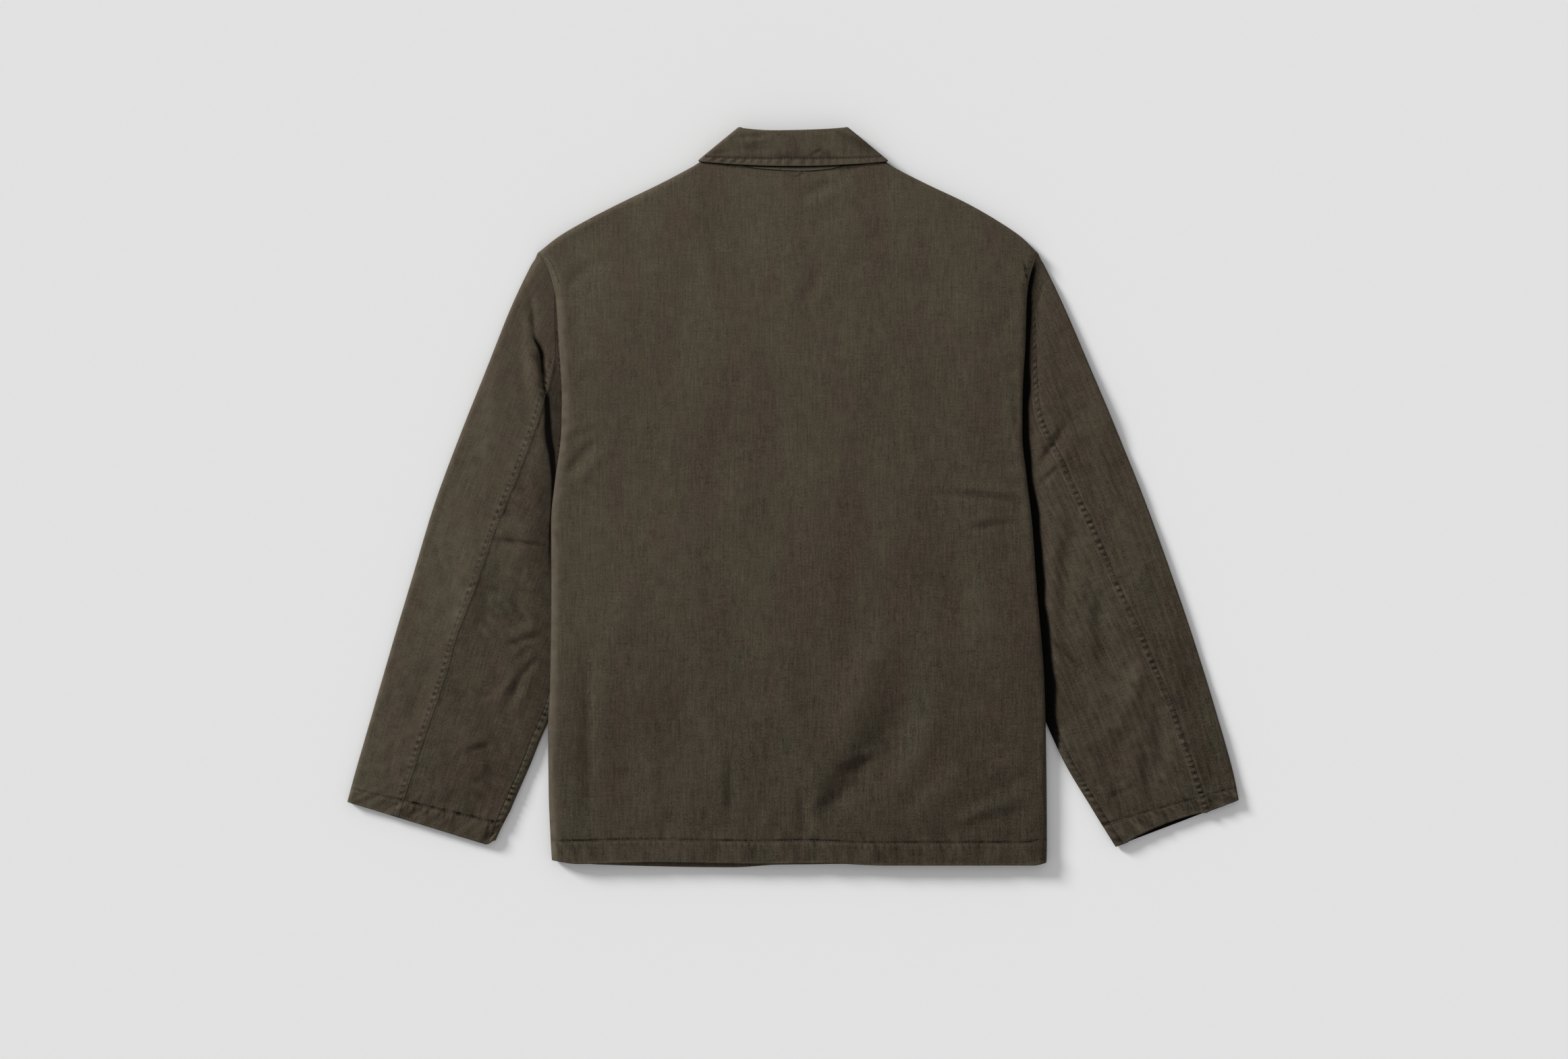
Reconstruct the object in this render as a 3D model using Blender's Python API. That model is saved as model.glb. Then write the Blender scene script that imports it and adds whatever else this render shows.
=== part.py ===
"""Deck jacket laid flat with its back up: every cut piece is a thin wall of cloth.

The origin is on the surface below the middle of the jacket: +X to the right, +Y towards the
collar, +Z up. Tables and sizes are in millimetres and become metres when a mesh is made.
"""

import math
from collections import namedtuple

import bmesh
import bpy
import numpy as np
from mathutils import Matrix

MM = 0.001

# Driving dimensions
WALL = 1.5
SEAM_GAP = 0.3
ARMHOLE_GAP = 0.8
NECK_GAP = 1.5
ROLL_GAP = 1.8

# Heights above the surface
BODY_LOFT = 12.5
SLEEVE_LOFT = 7.2
TUCKED_SLEEVE = 4.0
OVER_TUCKED_SLEEVE = 4.5
OVER_COLLAR_WING = 2.2
OVER_BUTTON = 3.3
SHOULDER_SEAM_Z = 6.2
SIDE_SEAM_Z = 8.6
HEM_SIDE_SEAM_Z = 6.2
ARMHOLE_EDGE_Z = 9.2
NECK_SEAM_Z = 11.4
NECK_END_Z = 6.6

# Edges, hems and seams
SIDE_RADIUS = 8.0
ARMHOLE_ROLL = 20.0
SLEEVE_FOLD_RADIUS = 5.0
HEM_WIDTH = 24.0
HEM_EXTRA = 0.7
HEM_FROM_SIDE = 3.0
CUFF_HEM_START = 0.96
FELL_WIDTH = 6.5
FELL_RISE = 0.6
INNER_SEAM_IN = 8.5

# Where one lie of the cloth eases into the next: the place, and how long it takes
ARMHOLE_LOW_Y = 212.0
ARMHOLE_BLEND = 22.0
SEAM_LIFT_Y = -300.0
SEAM_LIFT_BLEND = 60.0
TUCK_TOP_Y = 246.0
TUCK_TOP_BLEND = 30.0
TUCK_REACH = 26.0
LIFT_TOP_Y = 238.0
LIFT_TOP_BLEND = 20.0
LIFT_INSIDE = 15.0
LIFT_BLEND = 22.0
WING_LOW_Y = 232.0
WING_END_X = 128.0
WING_BLEND = 30.0
NECK_LEVEL_HALF = 46.0
NECK_BLEND = 20.0
NECK_SLOPE = 40.0
SHOULDER_BLEND = 8.0
FOLD_SIDE_FADE = 20.0
FOLD_TOP_FADE = 25.0
FOLD_END_FADE = 0.3
ARMHOLE_CURVE_END = 0.1

# The front's lap and its buttons
PLACKET_HALF = 18.0
LAP_BLEND = 24.0
LAP_PAST_EDGE = 2.0
BUTTON_RADIUS = 9.0
BUTTON_THICKNESS = 2.6
BUTTON_LOW = 0.3
BUTTON_RIM = 1.2
BUTTON_DISH = 0.6
BUTTON_BACK = 0.9
BUTTON_FLAT = 15.0
BUTTON_SLOPE = 16.0
BUTTON_SIDE_SLOPE = 22.0
BUTTON_ROWS = (5, 12, 16, 20, 24)
HOLE_PLACE = 1.8
HOLE_RADIUS = 1.0

# Points of the outline, taken at the height where each edge reaches furthest out
BodyEdge = namedtuple("BodyEdge", "y left right")
BODY_EDGES = (
    BodyEdge(253.8, -265.7, 254.5),
    BodyEdge(246.8, -259.4, 251.4),
    BodyEdge(234.2, -253.0, 247.2),
    BodyEdge(222.5, -249.6, 244.6),
    BodyEdge(208.0, -246.6, 242.8),
    BodyEdge(160.0, -243.3, 241.2),
    BodyEdge(104.7, -240.2, 238.3),
    BodyEdge(66.9, -240.8, 238.0),
    BodyEdge(20.7, -246.8, 242.6),
    BodyEdge(-26.3, -251.2, 248.2),
    BodyEdge(-92.8, -251.0, 253.0),
    BodyEdge(-193.9, -252.4, 261.1),
    BodyEdge(-238.4, -254.4, 262.2),
    BodyEdge(-306.3, -253.8, 263.3),
    BodyEdge(-358.8, -251.6, 263.6),
    BodyEdge(-384.0, -250.0, 263.0),
)

TopPoint = namedtuple("TopPoint", "x y")
SHOULDER_LINE = (
    TopPoint(-265.7, 253.8),
    TopPoint(-243.3, 271.3),
    TopPoint(-213.2, 288.8),
    TopPoint(-178.9, 306.3),
    TopPoint(-135.5, 327.3),
    TopPoint(-103.3, 344.1),
    TopPoint(-94.0, 346.5),
    TopPoint(-78.0, 351.0),
    TopPoint(-60.0, 346.5),
    TopPoint(-36.0, 341.0),
    TopPoint(12.0, 338.7),
    TopPoint(36.0, 340.4),
    TopPoint(60.0, 346.0),
    TopPoint(78.0, 351.0),
    TopPoint(94.0, 346.5),
    TopPoint(102.6, 344.1),
    TopPoint(135.5, 327.3),
    TopPoint(179.6, 306.3),
    TopPoint(210.4, 288.8),
    TopPoint(236.3, 271.3),
    TopPoint(254.5, 253.8),
)
NECK_HALF = 78.0
FRONT_NECK_DROP = 66.0

BACK_HEM = (
    TopPoint(-265.7, -376.0),
    TopPoint(-238.0, -379.6),
    TopPoint(-158.6, -377.7),
    TopPoint(-40.3, -379.4),
    TopPoint(15.8, -378.7),
    TopPoint(85.1, -381.2),
    TopPoint(240.0, -381.2),
    TopPoint(254.5, -378.6),
)
FRONT_HEM = (
    TopPoint(-265.7, -376.0),
    TopPoint(-215.0, -381.2),
    TopPoint(-67.8, -384.0),
    TopPoint(-10.0, -381.0),
    TopPoint(60.0, -380.6),
    TopPoint(240.0, -380.6),
    TopPoint(254.5, -378.6),
)

# A sleeve's sections from its armhole to its cuff: the two ends of each, and how far across the
# back seam lies, as a share of the way from the inner edge to the outer one
SleeveRow = namedtuple("SleeveRow", "inner_x inner_y outer_x outer_y seam")
SLEEVE_LEFT = (
    SleeveRow(-247.6, 208.0, -266.5, 253.6, 0.26),
    SleeveRow(-238.0, 150.0, -291.6, 201.3, 0.16),
    SleeveRow(-233.0, 82.0, -319.6, 131.3, 0.30),
    SleeveRow(-239.0, 15.0, -347.6, 61.3, 0.39),
    SleeveRow(-242.0, -54.0, -373.5, -8.8, 0.50),
    SleeveRow(-242.0, -124.0, -394.5, -78.8, 0.583),
    SleeveRow(-243.0, -190.0, -415.5, -148.8, 0.644),
    SleeveRow(-267.0, -262.0, -435.8, -218.8, 0.651),
    SleeveRow(-292.6, -322.0, -456.0, -288.8, 0.654),
    SleeveRow(-309.0, -363.0, -463.1, -315.6, 0.654),
)
SLEEVE_RIGHT = (
    SleeveRow(243.7, 208.0, 255.4, 253.6, 0.42),
    SleeveRow(233.0, 150.0, 280.4, 201.3, 0.30),
    SleeveRow(228.0, 82.0, 310.5, 131.3, 0.26),
    SleeveRow(234.0, 15.0, 339.9, 61.3, 0.39),
    SleeveRow(239.0, -54.0, 367.9, -8.8, 0.513),
    SleeveRow(244.0, -124.0, 393.1, -78.8, 0.602),
    SleeveRow(250.0, -190.0, 416.9, -148.8, 0.682),
    SleeveRow(275.5, -262.0, 438.6, -218.8, 0.717),
    SleeveRow(310.0, -322.0, 458.2, -288.8, 0.713),
    SleeveRow(335.0, -362.4, 463.1, -313.6, 0.703),
)

# Folds: a line with a sideways bow, its half width, and how far the cloth rises or sinks
Fold = namedtuple("Fold", "x0 y0 x1 y1 bow half_width rise")
BODY_FOLDS = (
    Fold(128, -180, 6, -340, -10, 19, -3.4),
    Fold(113, -112, 44, -300, 10, 20, 2.6),
    Fold(150, -200, 94, -322, -8, 16, 2.4),
    Fold(182, -268, 120, -345, 0, 15, 1.8),
    Fold(250, -330, 172, -352, 0, 11, -1.6),
    Fold(236, 8, 138, 12, 0, 11, -1.8),
    Fold(236, -12, 190, -30, 0, 11, -1.4),
    Fold(-237, 22, -200, 62, 0, 11, -1.6),
    Fold(-218, -140, -218, -276, 0, 13, -1.8),
    Fold(-58, -240, -60, -338, 0, 12, -1.2),
    Fold(48, 330, 0, 306, 0, 11, -1.6),
    Fold(-150, 250, -215, 120, 14, 30, 1.4),
    Fold(150, 240, 205, 90, -12, 30, 1.4),
    Fold(30, 60, 40, -90, 8, 36, 1.0),
    Fold(-120, 40, -100, -190, 10, 40, 1.2),
)
LEFT_SLEEVE_FOLDS = (
    Fold(-272, 205, -258, 20, 6, 12, -1.8),
    Fold(-322, -38, -262, -54, 0, 12, -1.8),
    Fold(-258, -146, -304, -154, 0, 11, -1.6),
    Fold(-264, -162, -302, -215, 4, 11, -1.4),
    Fold(-300, 170, -312, 10, 6, 16, 1.8),
    Fold(-330, -10, -354, -180, -4, 16, 1.8),
    Fold(-330, -200, -352, -320, 0, 15, 1.2),
)
RIGHT_SLEEVE_FOLDS = (
    Fold(284, 78, 256, 30, 0, 11, -1.8),
    Fold(304, 20, 297, -232, 20, 13, -2.2),
    Fold(264, -146, 304, -178, 0, 11, -1.6),
    Fold(364, -150, 312, -268, -10, 15, 1.8),
    Fold(376, -210, 384, -290, 0, 12, -1.6),
    Fold(300, 180, 322, 40, -8, 16, 1.6),
    Fold(340, 20, 372, -120, 4, 14, 1.4),
)

# The collar: its roll line and the leaf's free edge, half widths and heights
ROLL_HALF = 55.5
ROLL_Y = 385.4
ROLL_Z = 20.0
ROLL_DEPTH = 6.0
LEAF_HALF = 98.6
LEAF_EDGE_Y = 347.6
LEAF_EDGE_MIDDLE_Y = 343.6
LEAF_EDGE_Z = 15.2
COLLAR_SIDE_RADIUS = 4.0
FRONT_ROLL_Y = 330.0
FRONT_ROLL_DEPTH = 4.4
FRONT_END_X = 3.0
WING_POINT_X = 58.0
WING_POINT_Y = 288.0
ROLL_MIDDLE_DIP = 2.6
ROLL_END_DROP = 1.5
LEAF_END_DROP = 0.8
COLLAR_CORNER_DROP = 2.0
COLLAR_TURN_X = 0.7
COLLAR_TURN_Y = 0.5
COLLAR_OUTWARD = (0.66, 0.75)
STAND_IN = 2.0
STAND_CORNER_Y = 353.0

CLOTH_COLOURS = {
    "back": (0.062, 0.050, 0.036),
    "front": (0.056, 0.045, 0.032),
    "sleeve": (0.064, 0.052, 0.038),
    "collar": (0.068, 0.055, 0.040),
}
BUTTON_COLOUR = (0.030, 0.022, 0.016)


def curve(rows):
    """A smooth reading of (at, value) rows that never swings past them."""
    at, value = np.array(sorted(rows), float).T
    step = np.diff(at)
    slope = np.diff(value) / step
    turn = slope[:-1] * slope[1:]
    total = np.where(turn > 0, slope[:-1] + slope[1:], 1.0)
    middle = np.where(turn > 0, 2 * turn / total, 0.0)
    tangent = np.concatenate([slope[:1], middle, slope[-1:]])

    def read(x):
        x = min(max(x, at[0]), at[-1])
        i = min(max(int(np.searchsorted(at, x)) - 1, 0), len(step) - 1)
        q = (x - at[i]) / step[i]
        rise = value[i] + (value[i + 1] - value[i]) * q * q * (3 - 2 * q)
        bend = tangent[i] * q * (1 - q) ** 2 - tangent[i + 1] * q * q * (1 - q)
        return float(rise + bend * step[i])

    return read


def mix(a, b, share):
    return a + (b - a) * share


def ease(q):
    q = min(max(q, 0.0), 1.0)
    return q * q * (3 - 2 * q)


def round_rise(q):
    """The height of a quarter circle, from 0 at its foot to 1."""
    q = min(max(q, 0.0), 1.0)
    return math.sqrt(1 - (1 - q) ** 2)


left_edge = curve([(row.y, row.left) for row in BODY_EDGES])
right_edge = curve([(row.y, row.right) for row in BODY_EDGES])
shoulder_y = curve(SHOULDER_LINE)
back_hem_y = curve(BACK_HEM)
front_hem_y = curve(FRONT_HEM)


def fold_rise(folds, x, y):
    """How far the folds lift the cloth at a point; each fades out towards its two ends."""
    total = 0.0
    for fold in folds:
        run_x = fold.x1 - fold.x0
        run_y = fold.y1 - fold.y0
        length = math.hypot(run_x, run_y)
        along = ((x - fold.x0) * run_x + (y - fold.y0) * run_y) / length**2
        if not 0 < along < 1:
            continue
        across = ((x - fold.x0) * run_y - (y - fold.y0) * run_x) / length
        across -= fold.bow * 4 * along * (1 - along)
        fade = ease(min(along, 1 - along) / FOLD_END_FADE)
        total += fold.rise * fade * math.exp(-((across / fold.half_width) ** 2))
    return total


def side_seam_z(y):
    """Height of the seam between back and front along the body's side fold."""
    return mix(HEM_SIDE_SEAM_Z, SIDE_SEAM_Z, ease((y - SEAM_LIFT_Y) / SEAM_LIFT_BLEND))


def armhole_share(y):
    """1 along the armhole, where the body lies on the sleeve's end, and 0 along the side fold."""
    return ease((y - ARMHOLE_LOW_Y) / ARMHOLE_BLEND)


def neck_seam_z(x):
    past = (abs(x) - NECK_LEVEL_HALF) / (NECK_HALF - NECK_LEVEL_HALF)
    return mix(NECK_SEAM_Z, NECK_END_Z, ease(past))


def back_z(x, y, side, top, drop):
    """Height of the back panel from the distances to its side edge and to its top edge."""
    loft = BODY_LOFT - drop
    radius = SIDE_RADIUS - drop
    edge = mix(side_seam_z(y), ARMHOLE_EDGE_Z - drop, armhole_share(y))
    fade = ease(side / FOLD_SIDE_FADE) * ease(top / FOLD_TOP_FADE)
    inner = loft + fold_rise(BODY_FOLDS, x, y) * fade
    z = edge + (inner - edge) * round_rise(side / mix(radius, ARMHOLE_ROLL, armhole_share(y)))
    if abs(x) < NECK_HALF:
        seam = neck_seam_z(x) - drop * ease((NECK_HALF - abs(x)) / NECK_BLEND)
        return seam + (z - seam) * ease(0.25 + top / NECK_SLOPE) if top > 0.01 else seam
    return SHOULDER_SEAM_Z + (z - SHOULDER_SEAM_Z) * round_rise(top / radius)


def sleeve_under_body(y):
    """1 where a sleeve's inner edge lies under the body's side, and 0 past it."""
    return ease((y - SEAM_LIFT_Y) / SEAM_LIFT_BLEND)


def floor_lift(x, y, side):
    """How far the fronts are lifted off the surface by what lies under them."""
    over_sleeve = (1 - ease((side - LIFT_INSIDE) / LIFT_BLEND)) * sleeve_under_body(y)
    over_sleeve *= ease((LIFT_TOP_Y - y) / LIFT_TOP_BLEND)
    over_wing = ease((y - WING_LOW_Y) / WING_BLEND)
    over_wing *= 1 - ease((abs(x) - WING_END_X) / WING_BLEND)
    return max(OVER_TUCKED_SLEEVE * over_sleeve, OVER_COLLAR_WING * over_wing)


def front_z(x, y, side, top, drop, lift):
    """Height of a front's outer side, which faces the surface, or of its inner side."""
    radius = SIDE_RADIUS - drop
    low = lift + drop
    rest = armhole_share(y)
    edge = mix(side_seam_z(y) - SEAM_GAP, low, rest)
    z = low + (edge - low) * (1 - round_rise(side / mix(radius, ARMHOLE_ROLL, rest)))
    if abs(x) < NECK_HALF:
        return z
    seam = SHOULDER_SEAM_Z - SEAM_GAP
    share = ease((abs(x) - NECK_HALF) / SHOULDER_BLEND)
    return z + (seam - z) * (1 - round_rise(top / radius)) * share


EDGE_STEPS = (0.0, 0.8, 2.6, 5.4, 9.0)
TOP_STEPS = (0.0, 0.8, 2.6, 5.4, 9.0, 16.0, 24.0, 32.0, 40.0, 50.0)
BODY_ROWS = 30
TOP_INSET = 1.12
TOP_INSET_END = 16.0


def row_drop(index, length):
    """How far below the top edge a row lies, with a row each side of the hem's top stitch."""
    if index < len(TOP_STEPS):
        return TOP_STEPS[index]
    spans = BODY_ROWS - len(TOP_STEPS) - 1
    share = (index - len(TOP_STEPS) + 1) / spans
    if share <= 1:
        return mix(TOP_STEPS[-1], length - HEM_WIDTH - 1, share)
    return length - HEM_WIDTH if index == BODY_ROWS - 1 else length


def back_columns(count):
    """Column places across the back: (which edge it is measured from, distance or share)."""
    columns = [("left", step) for step in EDGE_STEPS]
    columns += [("share", i / count) for i in range(1, count)]
    return columns + [("right", step) for step in reversed(EDGE_STEPS)]


def place_column(column, left, right):
    kind, value = column
    if kind == "left":
        return left + value
    if kind == "right":
        return right - value
    if kind == "at":
        return value
    return mix(left + EDGE_STEPS[-1], right - EDGE_STEPS[-1], value)


def body_point(column, index, hem_y, top_y, height, inset):
    """One point of a body panel; inset draws the inner side in from the outline."""
    nominal = place_column(column, BODY_EDGES[0].left, BODY_EDGES[0].right)
    top = top_y(nominal)
    drop = row_drop(index, top - hem_y(nominal))
    y = top - drop
    pull = inset * (1 - armhole_share(y))
    left = left_edge(y) + pull
    right = right_edge(y) - pull
    x = place_column(column, left, right)
    side = min(x - left, right - x)
    if abs(nominal) > NECK_HALF:
        y -= inset * TOP_INSET * max(0.0, 1 - drop / TOP_INSET_END)
    in_hem = index >= BODY_ROWS - 1
    return x, y, height(x, y, side, drop, in_hem)


def ring_wall(name, rings, colour):
    """A wall through closed rings of points, each running along its outer side and back inside."""
    mesh = bpy.data.meshes.new(name)
    bm = bmesh.new()
    loops = [[bm.verts.new([c * MM for c in point]) for point in ring] for ring in rings]
    count = len(rings[0])
    for ring, after in zip(loops[:-1], loops[1:]):
        for i in range(count):
            j = (i + 1) % count
            bm.faces.new((ring[i], ring[j], after[j], after[i]))
    for ring in (loops[0], loops[-1]):
        for i in range(count // 2 - 1):
            bm.faces.new((ring[i], ring[i + 1], ring[count - 2 - i], ring[count - 1 - i]))
    bmesh.ops.recalc_face_normals(bm, faces=bm.faces)
    bm.to_mesh(mesh)
    bm.free()
    mesh.shade_smooth()
    mesh.set_sharp_from_angle(angle=math.radians(50))
    return add_object(name, mesh, colour, 0.9)


def add_object(name, mesh, colour, roughness):
    obj = bpy.data.objects.new(name, mesh)
    bpy.context.scene.collection.objects.link(obj)
    material = bpy.data.materials.new(name + "_colour")
    material.use_nodes = True
    shader = material.node_tree.nodes["Principled BSDF"]
    shader.inputs["Base Color"].default_value = (*colour, 1)
    shader.inputs["Roughness"].default_value = roughness
    shader.inputs["Metallic"].default_value = 0.0
    mesh.materials.append(material)
    return obj


def make_back():
    """The plain one-piece back, its side edges rolling down to the side seams."""

    def outer(x, y, side, top, in_hem):
        extra = HEM_EXTRA if in_hem and side > HEM_FROM_SIDE else 0.0
        return back_z(x, y, side, top, 0.0) + extra

    def inner(x, y, side, top, in_hem):
        return back_z(x, y, side, top, WALL)

    columns = back_columns(19)
    rings = []
    for index in range(BODY_ROWS + 1):
        top = [body_point(c, index, back_hem_y, shoulder_y, outer, 0.0) for c in columns]
        low = [body_point(c, index, back_hem_y, shoulder_y, inner, WALL) for c in columns]
        rings.append(top + low[::-1])
    ring_wall("back", rings, CLOTH_COLOURS["back"])


def front_top_y(x):
    """Top edge of the fronts: the shoulder line, dipping to the centre front at the neck."""
    across = min(abs(x) / NECK_HALF, 1.0)
    if across == 1.0:
        return shoulder_y(x)
    return shoulder_y(NECK_HALF) - FRONT_NECK_DROP * (1 - across**2)


def button_y(index):
    """Centre of a button, halfway between two rows of the front."""
    top = front_top_y(0.0)
    length = top - front_hem_y(0.0)
    return top - (row_drop(index, length) + row_drop(index + 1, length)) / 2


def button_lift(x, y):
    """How far a button under the placket lifts it, flat over the button and sloping to it."""
    reach = 0.0
    for index in BUTTON_ROWS:
        away = abs(y - button_y(index))
        reach = max(reach, 1 - ease((away - BUTTON_FLAT) / BUTTON_SLOPE))
    past = (abs(x) - PLACKET_HALF - 1) / BUTTON_SIDE_SLOPE
    return OVER_BUTTON * reach * (1 - ease(past))


def make_front(name, columns, layer):
    """One front; layer is its height in the overlap, over the front and buttons below it."""

    def lift(x, y, side):
        overlap = 1 - ease((abs(x) - PLACKET_HALF - LAP_PAST_EDGE) / LAP_BLEND)
        return max(floor_lift(x, y, side), button_lift(x, y)) + layer * overlap

    def outer(x, y, side, top, in_hem):
        return front_z(x, y, side, top, 0.0, lift(x, y, side))

    def inner(x, y, side, top, in_hem):
        extra = HEM_EXTRA if in_hem and side > HEM_FROM_SIDE else 0.0
        return front_z(x, y, side, top, WALL, lift(x, y, side)) + extra

    rings = []
    for index in range(BODY_ROWS + 1):
        low = [body_point(c, index, front_hem_y, front_top_y, outer, 0.0) for c in columns]
        top = [body_point(c, index, front_hem_y, front_top_y, inner, WALL) for c in columns]
        rings.append(low + top[::-1])
    ring_wall(name, rings, CLOTH_COLOURS["front"])


def make_fronts():
    """The two fronts, lapped at the centre with the left one outside, and so lowest here."""
    edge = [("left", step) for step in (*EDGE_STEPS, 16.0, 38.0)]
    lap = (-PLACKET_HALF - LAP_BLEND, -PLACKET_HALF - LAP_PAST_EDGE, -8.0, 8.0, PLACKET_HALF)
    middle = (-165.0, -125.0, -NECK_HALF, -60.0)
    left = edge + [("at", x) for x in (*middle, *lap)]
    make_front("front_left", left, 0.0)
    right = [("right", value) for _, value in reversed(edge)]
    right = [("at", -x) for x in reversed((*middle, *lap))] + right
    make_front("front_right", right, WALL + HEM_EXTRA + SEAM_GAP)


def sleeve_reader(rows):
    """Smooth functions of the way down the sleeve, one for each column of its table."""
    places = np.linspace(0.0, 1.0, len(rows))
    return SleeveRow(*[curve(list(zip(places, column))) for column in zip(*rows)])


def sleeve_plan(reader, side, down, across):
    """Where a point lies in plan, for its shares of the way down and across the sleeve."""
    x = mix(reader.inner_x(down), reader.outer_x(down), across)
    y = mix(reader.inner_y(down), reader.outer_y(down), across)
    edge = left_edge(y) if side < 0 else right_edge(y)
    straight = mix(reader.inner_x(0.0), reader.outer_x(0.0), across)
    bulge = edge + side * ARMHOLE_GAP - straight
    bulge *= (1 - ease(down / ARMHOLE_CURVE_END)) * math.sin(math.pi * across) ** 0.5
    return x + bulge, y


def sleeve_top_z(side, x, y, folds):
    """Height of the sleeve's upper layer, pressed down where it runs in under the body."""
    edge = left_edge(y) if side < 0 else right_edge(y)
    pressed = 1 - ease(side * (x - edge) / TUCK_REACH)
    pressed *= sleeve_under_body(y) * ease((TUCK_TOP_Y - y) / TUCK_TOP_BLEND)
    z = SLEEVE_LOFT - (SLEEVE_LOFT - TUCKED_SLEEVE) * pressed
    return z + fold_rise(folds, x, y) * (1 - pressed)


def sleeve_rows():
    """Shares of the way down the sleeve, closer at the armhole and at the cuff's hem."""
    shares = [0.0, 0.02, 0.045, 0.08, 0.12]
    shares += [mix(0.12, 0.955, i / 16) for i in range(1, 17)]
    return shares + [0.963, 0.985, 1.0]


def sleeve_edge(radius, height, wall, steps):
    """A folded edge: (how far in from the edge, height) from its top round to its foot."""
    points = []
    for i in range(steps + 1):
        angle = math.pi / 2 - math.pi * i / steps
        out = (radius - wall) * math.cos(angle)
        z = height / 2 + (height / 2 - wall) * math.sin(angle)
        points.append((radius - out, z))
    return points


def sleeve_width(reader, down):
    across_x = reader.outer_x(down) - reader.inner_x(down)
    across_y = reader.outer_y(down) - reader.inner_y(down)
    return math.hypot(across_x, across_y)


def sleeve_section(reader, side, down, folds, wall):
    """One section of the sleeve's large piece, from the back seam round to the inner seam."""
    width = sleeve_width(reader, down)
    seam = reader.seam(down) * width
    radius = SLEEVE_FOLD_RADIUS
    hem = HEM_EXTRA if down > CUFF_HEM_START else 0.0
    points = []

    def top_height(place):
        x, y = sleeve_plan(reader, side, down, place / width)
        return sleeve_top_z(side, x, y, folds)

    reach = width - radius
    fell = min(FELL_WIDTH, (reach - seam) / 3)
    tops = [seam + SEAM_GAP, seam + fell, seam + fell + 1]
    tops += [mix(seam + fell + 1, reach, i / 3) for i in (1, 2)]
    for i, place in enumerate(tops):
        rise = 0.0 if wall else (FELL_RISE if i < 2 else 0.0) + hem
        points.append((place, top_height(place) - wall + rise))
    for depth, z in sleeve_edge(radius, top_height(reach), wall, 6):
        points.append((width - depth, z))
    for share in (0.3, 0.7):
        points.append((mix(reach, radius, share), wall))
    for depth, z in reversed(sleeve_edge(radius, top_height(radius), wall, 6)):
        points.append((depth, z))
    last = INNER_SEAM_IN - SEAM_GAP / 2
    points.append((last, top_height(last) - wall))
    result = []
    for place, z in points:
        x, y = sleeve_plan(reader, side, down, place / width)
        result.append((x, y, z))
    return result


def under_section(reader, side, down, folds, wall):
    """One section of the sleeve's narrow piece, between its two seams."""
    width = sleeve_width(reader, down)
    start = INNER_SEAM_IN + SEAM_GAP / 2
    end = reader.seam(down) * width
    hem = HEM_EXTRA if down > CUFF_HEM_START and not wall else 0.0
    points = []
    for i in range(6):
        place = mix(start, end, i / 5)
        x, y = sleeve_plan(reader, side, down, place / width)
        points.append((x, y, sleeve_top_z(side, x, y, folds) - wall + hem))
    return points


def make_sleeve(word, side, rows, folds):
    reader = sleeve_reader(rows)
    for name, section in (("sleeve_top", sleeve_section), ("sleeve_under", under_section)):
        rings = []
        for down in sleeve_rows():
            outer = section(reader, side, down, folds, 0.0)
            inner = section(reader, side, down, folds, WALL)
            rings.append(outer + inner[::-1])
        ring_wall(f"{name}_{word}", rings, CLOTH_COLOURS["sleeve"])


def collar_stations():
    """Places along the collar from the wearer's left front to the right, as (side, part, share)."""
    stations = [("wing", 1 - i / 5) for i in range(5)]
    stations += [("fold", 1 - i / 6) for i in range(6)]
    stations += [("back", 1 - i / 8) for i in range(8)]
    left = [(-1, part, share) for part, share in stations]
    right = [(1, part, share) for part, share in reversed(stations)]
    return left + [(1, "back", 0.0)] + right


def collar_line(side, part, share, half, y, top_z, front_x, front_y, middle_y):
    """A line round the collar: across the back, over the side fold and in along the wing."""
    side_x = half - COLLAR_SIDE_RADIUS * COLLAR_TURN_X
    side_y = y - COLLAR_CORNER_DROP
    if part == "back":
        return (side * side_x * share, mix(middle_y, side_y, share**2), top_z(share))
    if part == "wing":
        return (side * mix(side_x, front_x, share), mix(side_y, front_y, share), 0.0)
    turn = math.pi * share
    out = COLLAR_SIDE_RADIUS * math.sin(turn)
    z = top_z(1.0) / 2 * (1 + math.cos(turn))
    return (side * (side_x + out * COLLAR_TURN_X), side_y + out * COLLAR_TURN_Y, z)


def roll_line(side, part, share):
    def height(across):
        return ROLL_Z - ROLL_END_DROP * across**3

    return collar_line(
        side,
        part,
        share,
        ROLL_HALF,
        ROLL_Y,
        height,
        FRONT_END_X,
        FRONT_ROLL_Y,
        ROLL_Y - ROLL_MIDDLE_DIP,
    )


def leaf_edge_line(side, part, share):
    def height(across):
        return LEAF_EDGE_Z - LEAF_END_DROP * across

    return collar_line(
        side,
        part,
        share,
        LEAF_HALF,
        LEAF_EDGE_Y,
        height,
        WING_POINT_X,
        WING_POINT_Y,
        LEAF_EDGE_MIDDLE_Y,
    )


def turn_share(part, share):
    """0 on the back of the collar and 1 on its front wings, which lie on the surface."""
    return {"back": 0.0, "wing": 1.0, "fold": share}[part]


def collar_frame(side, part, share):
    """The roll, the free edge, the way between them, the way up, and the roll's depth."""
    roll = np.array(roll_line(side, part, share))
    edge = np.array(leaf_edge_line(side, part, share))
    turned = turn_share(part, share)
    along = (edge - roll) / np.linalg.norm(edge - roll)
    out_x, out_y = COLLAR_OUTWARD
    outward = math.sin(math.pi * turned)
    up = np.array((side * out_x * outward, out_y * outward, math.cos(math.pi * turned)))
    return roll, edge, along, up, mix(ROLL_DEPTH, FRONT_ROLL_DEPTH, turned)


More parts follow.
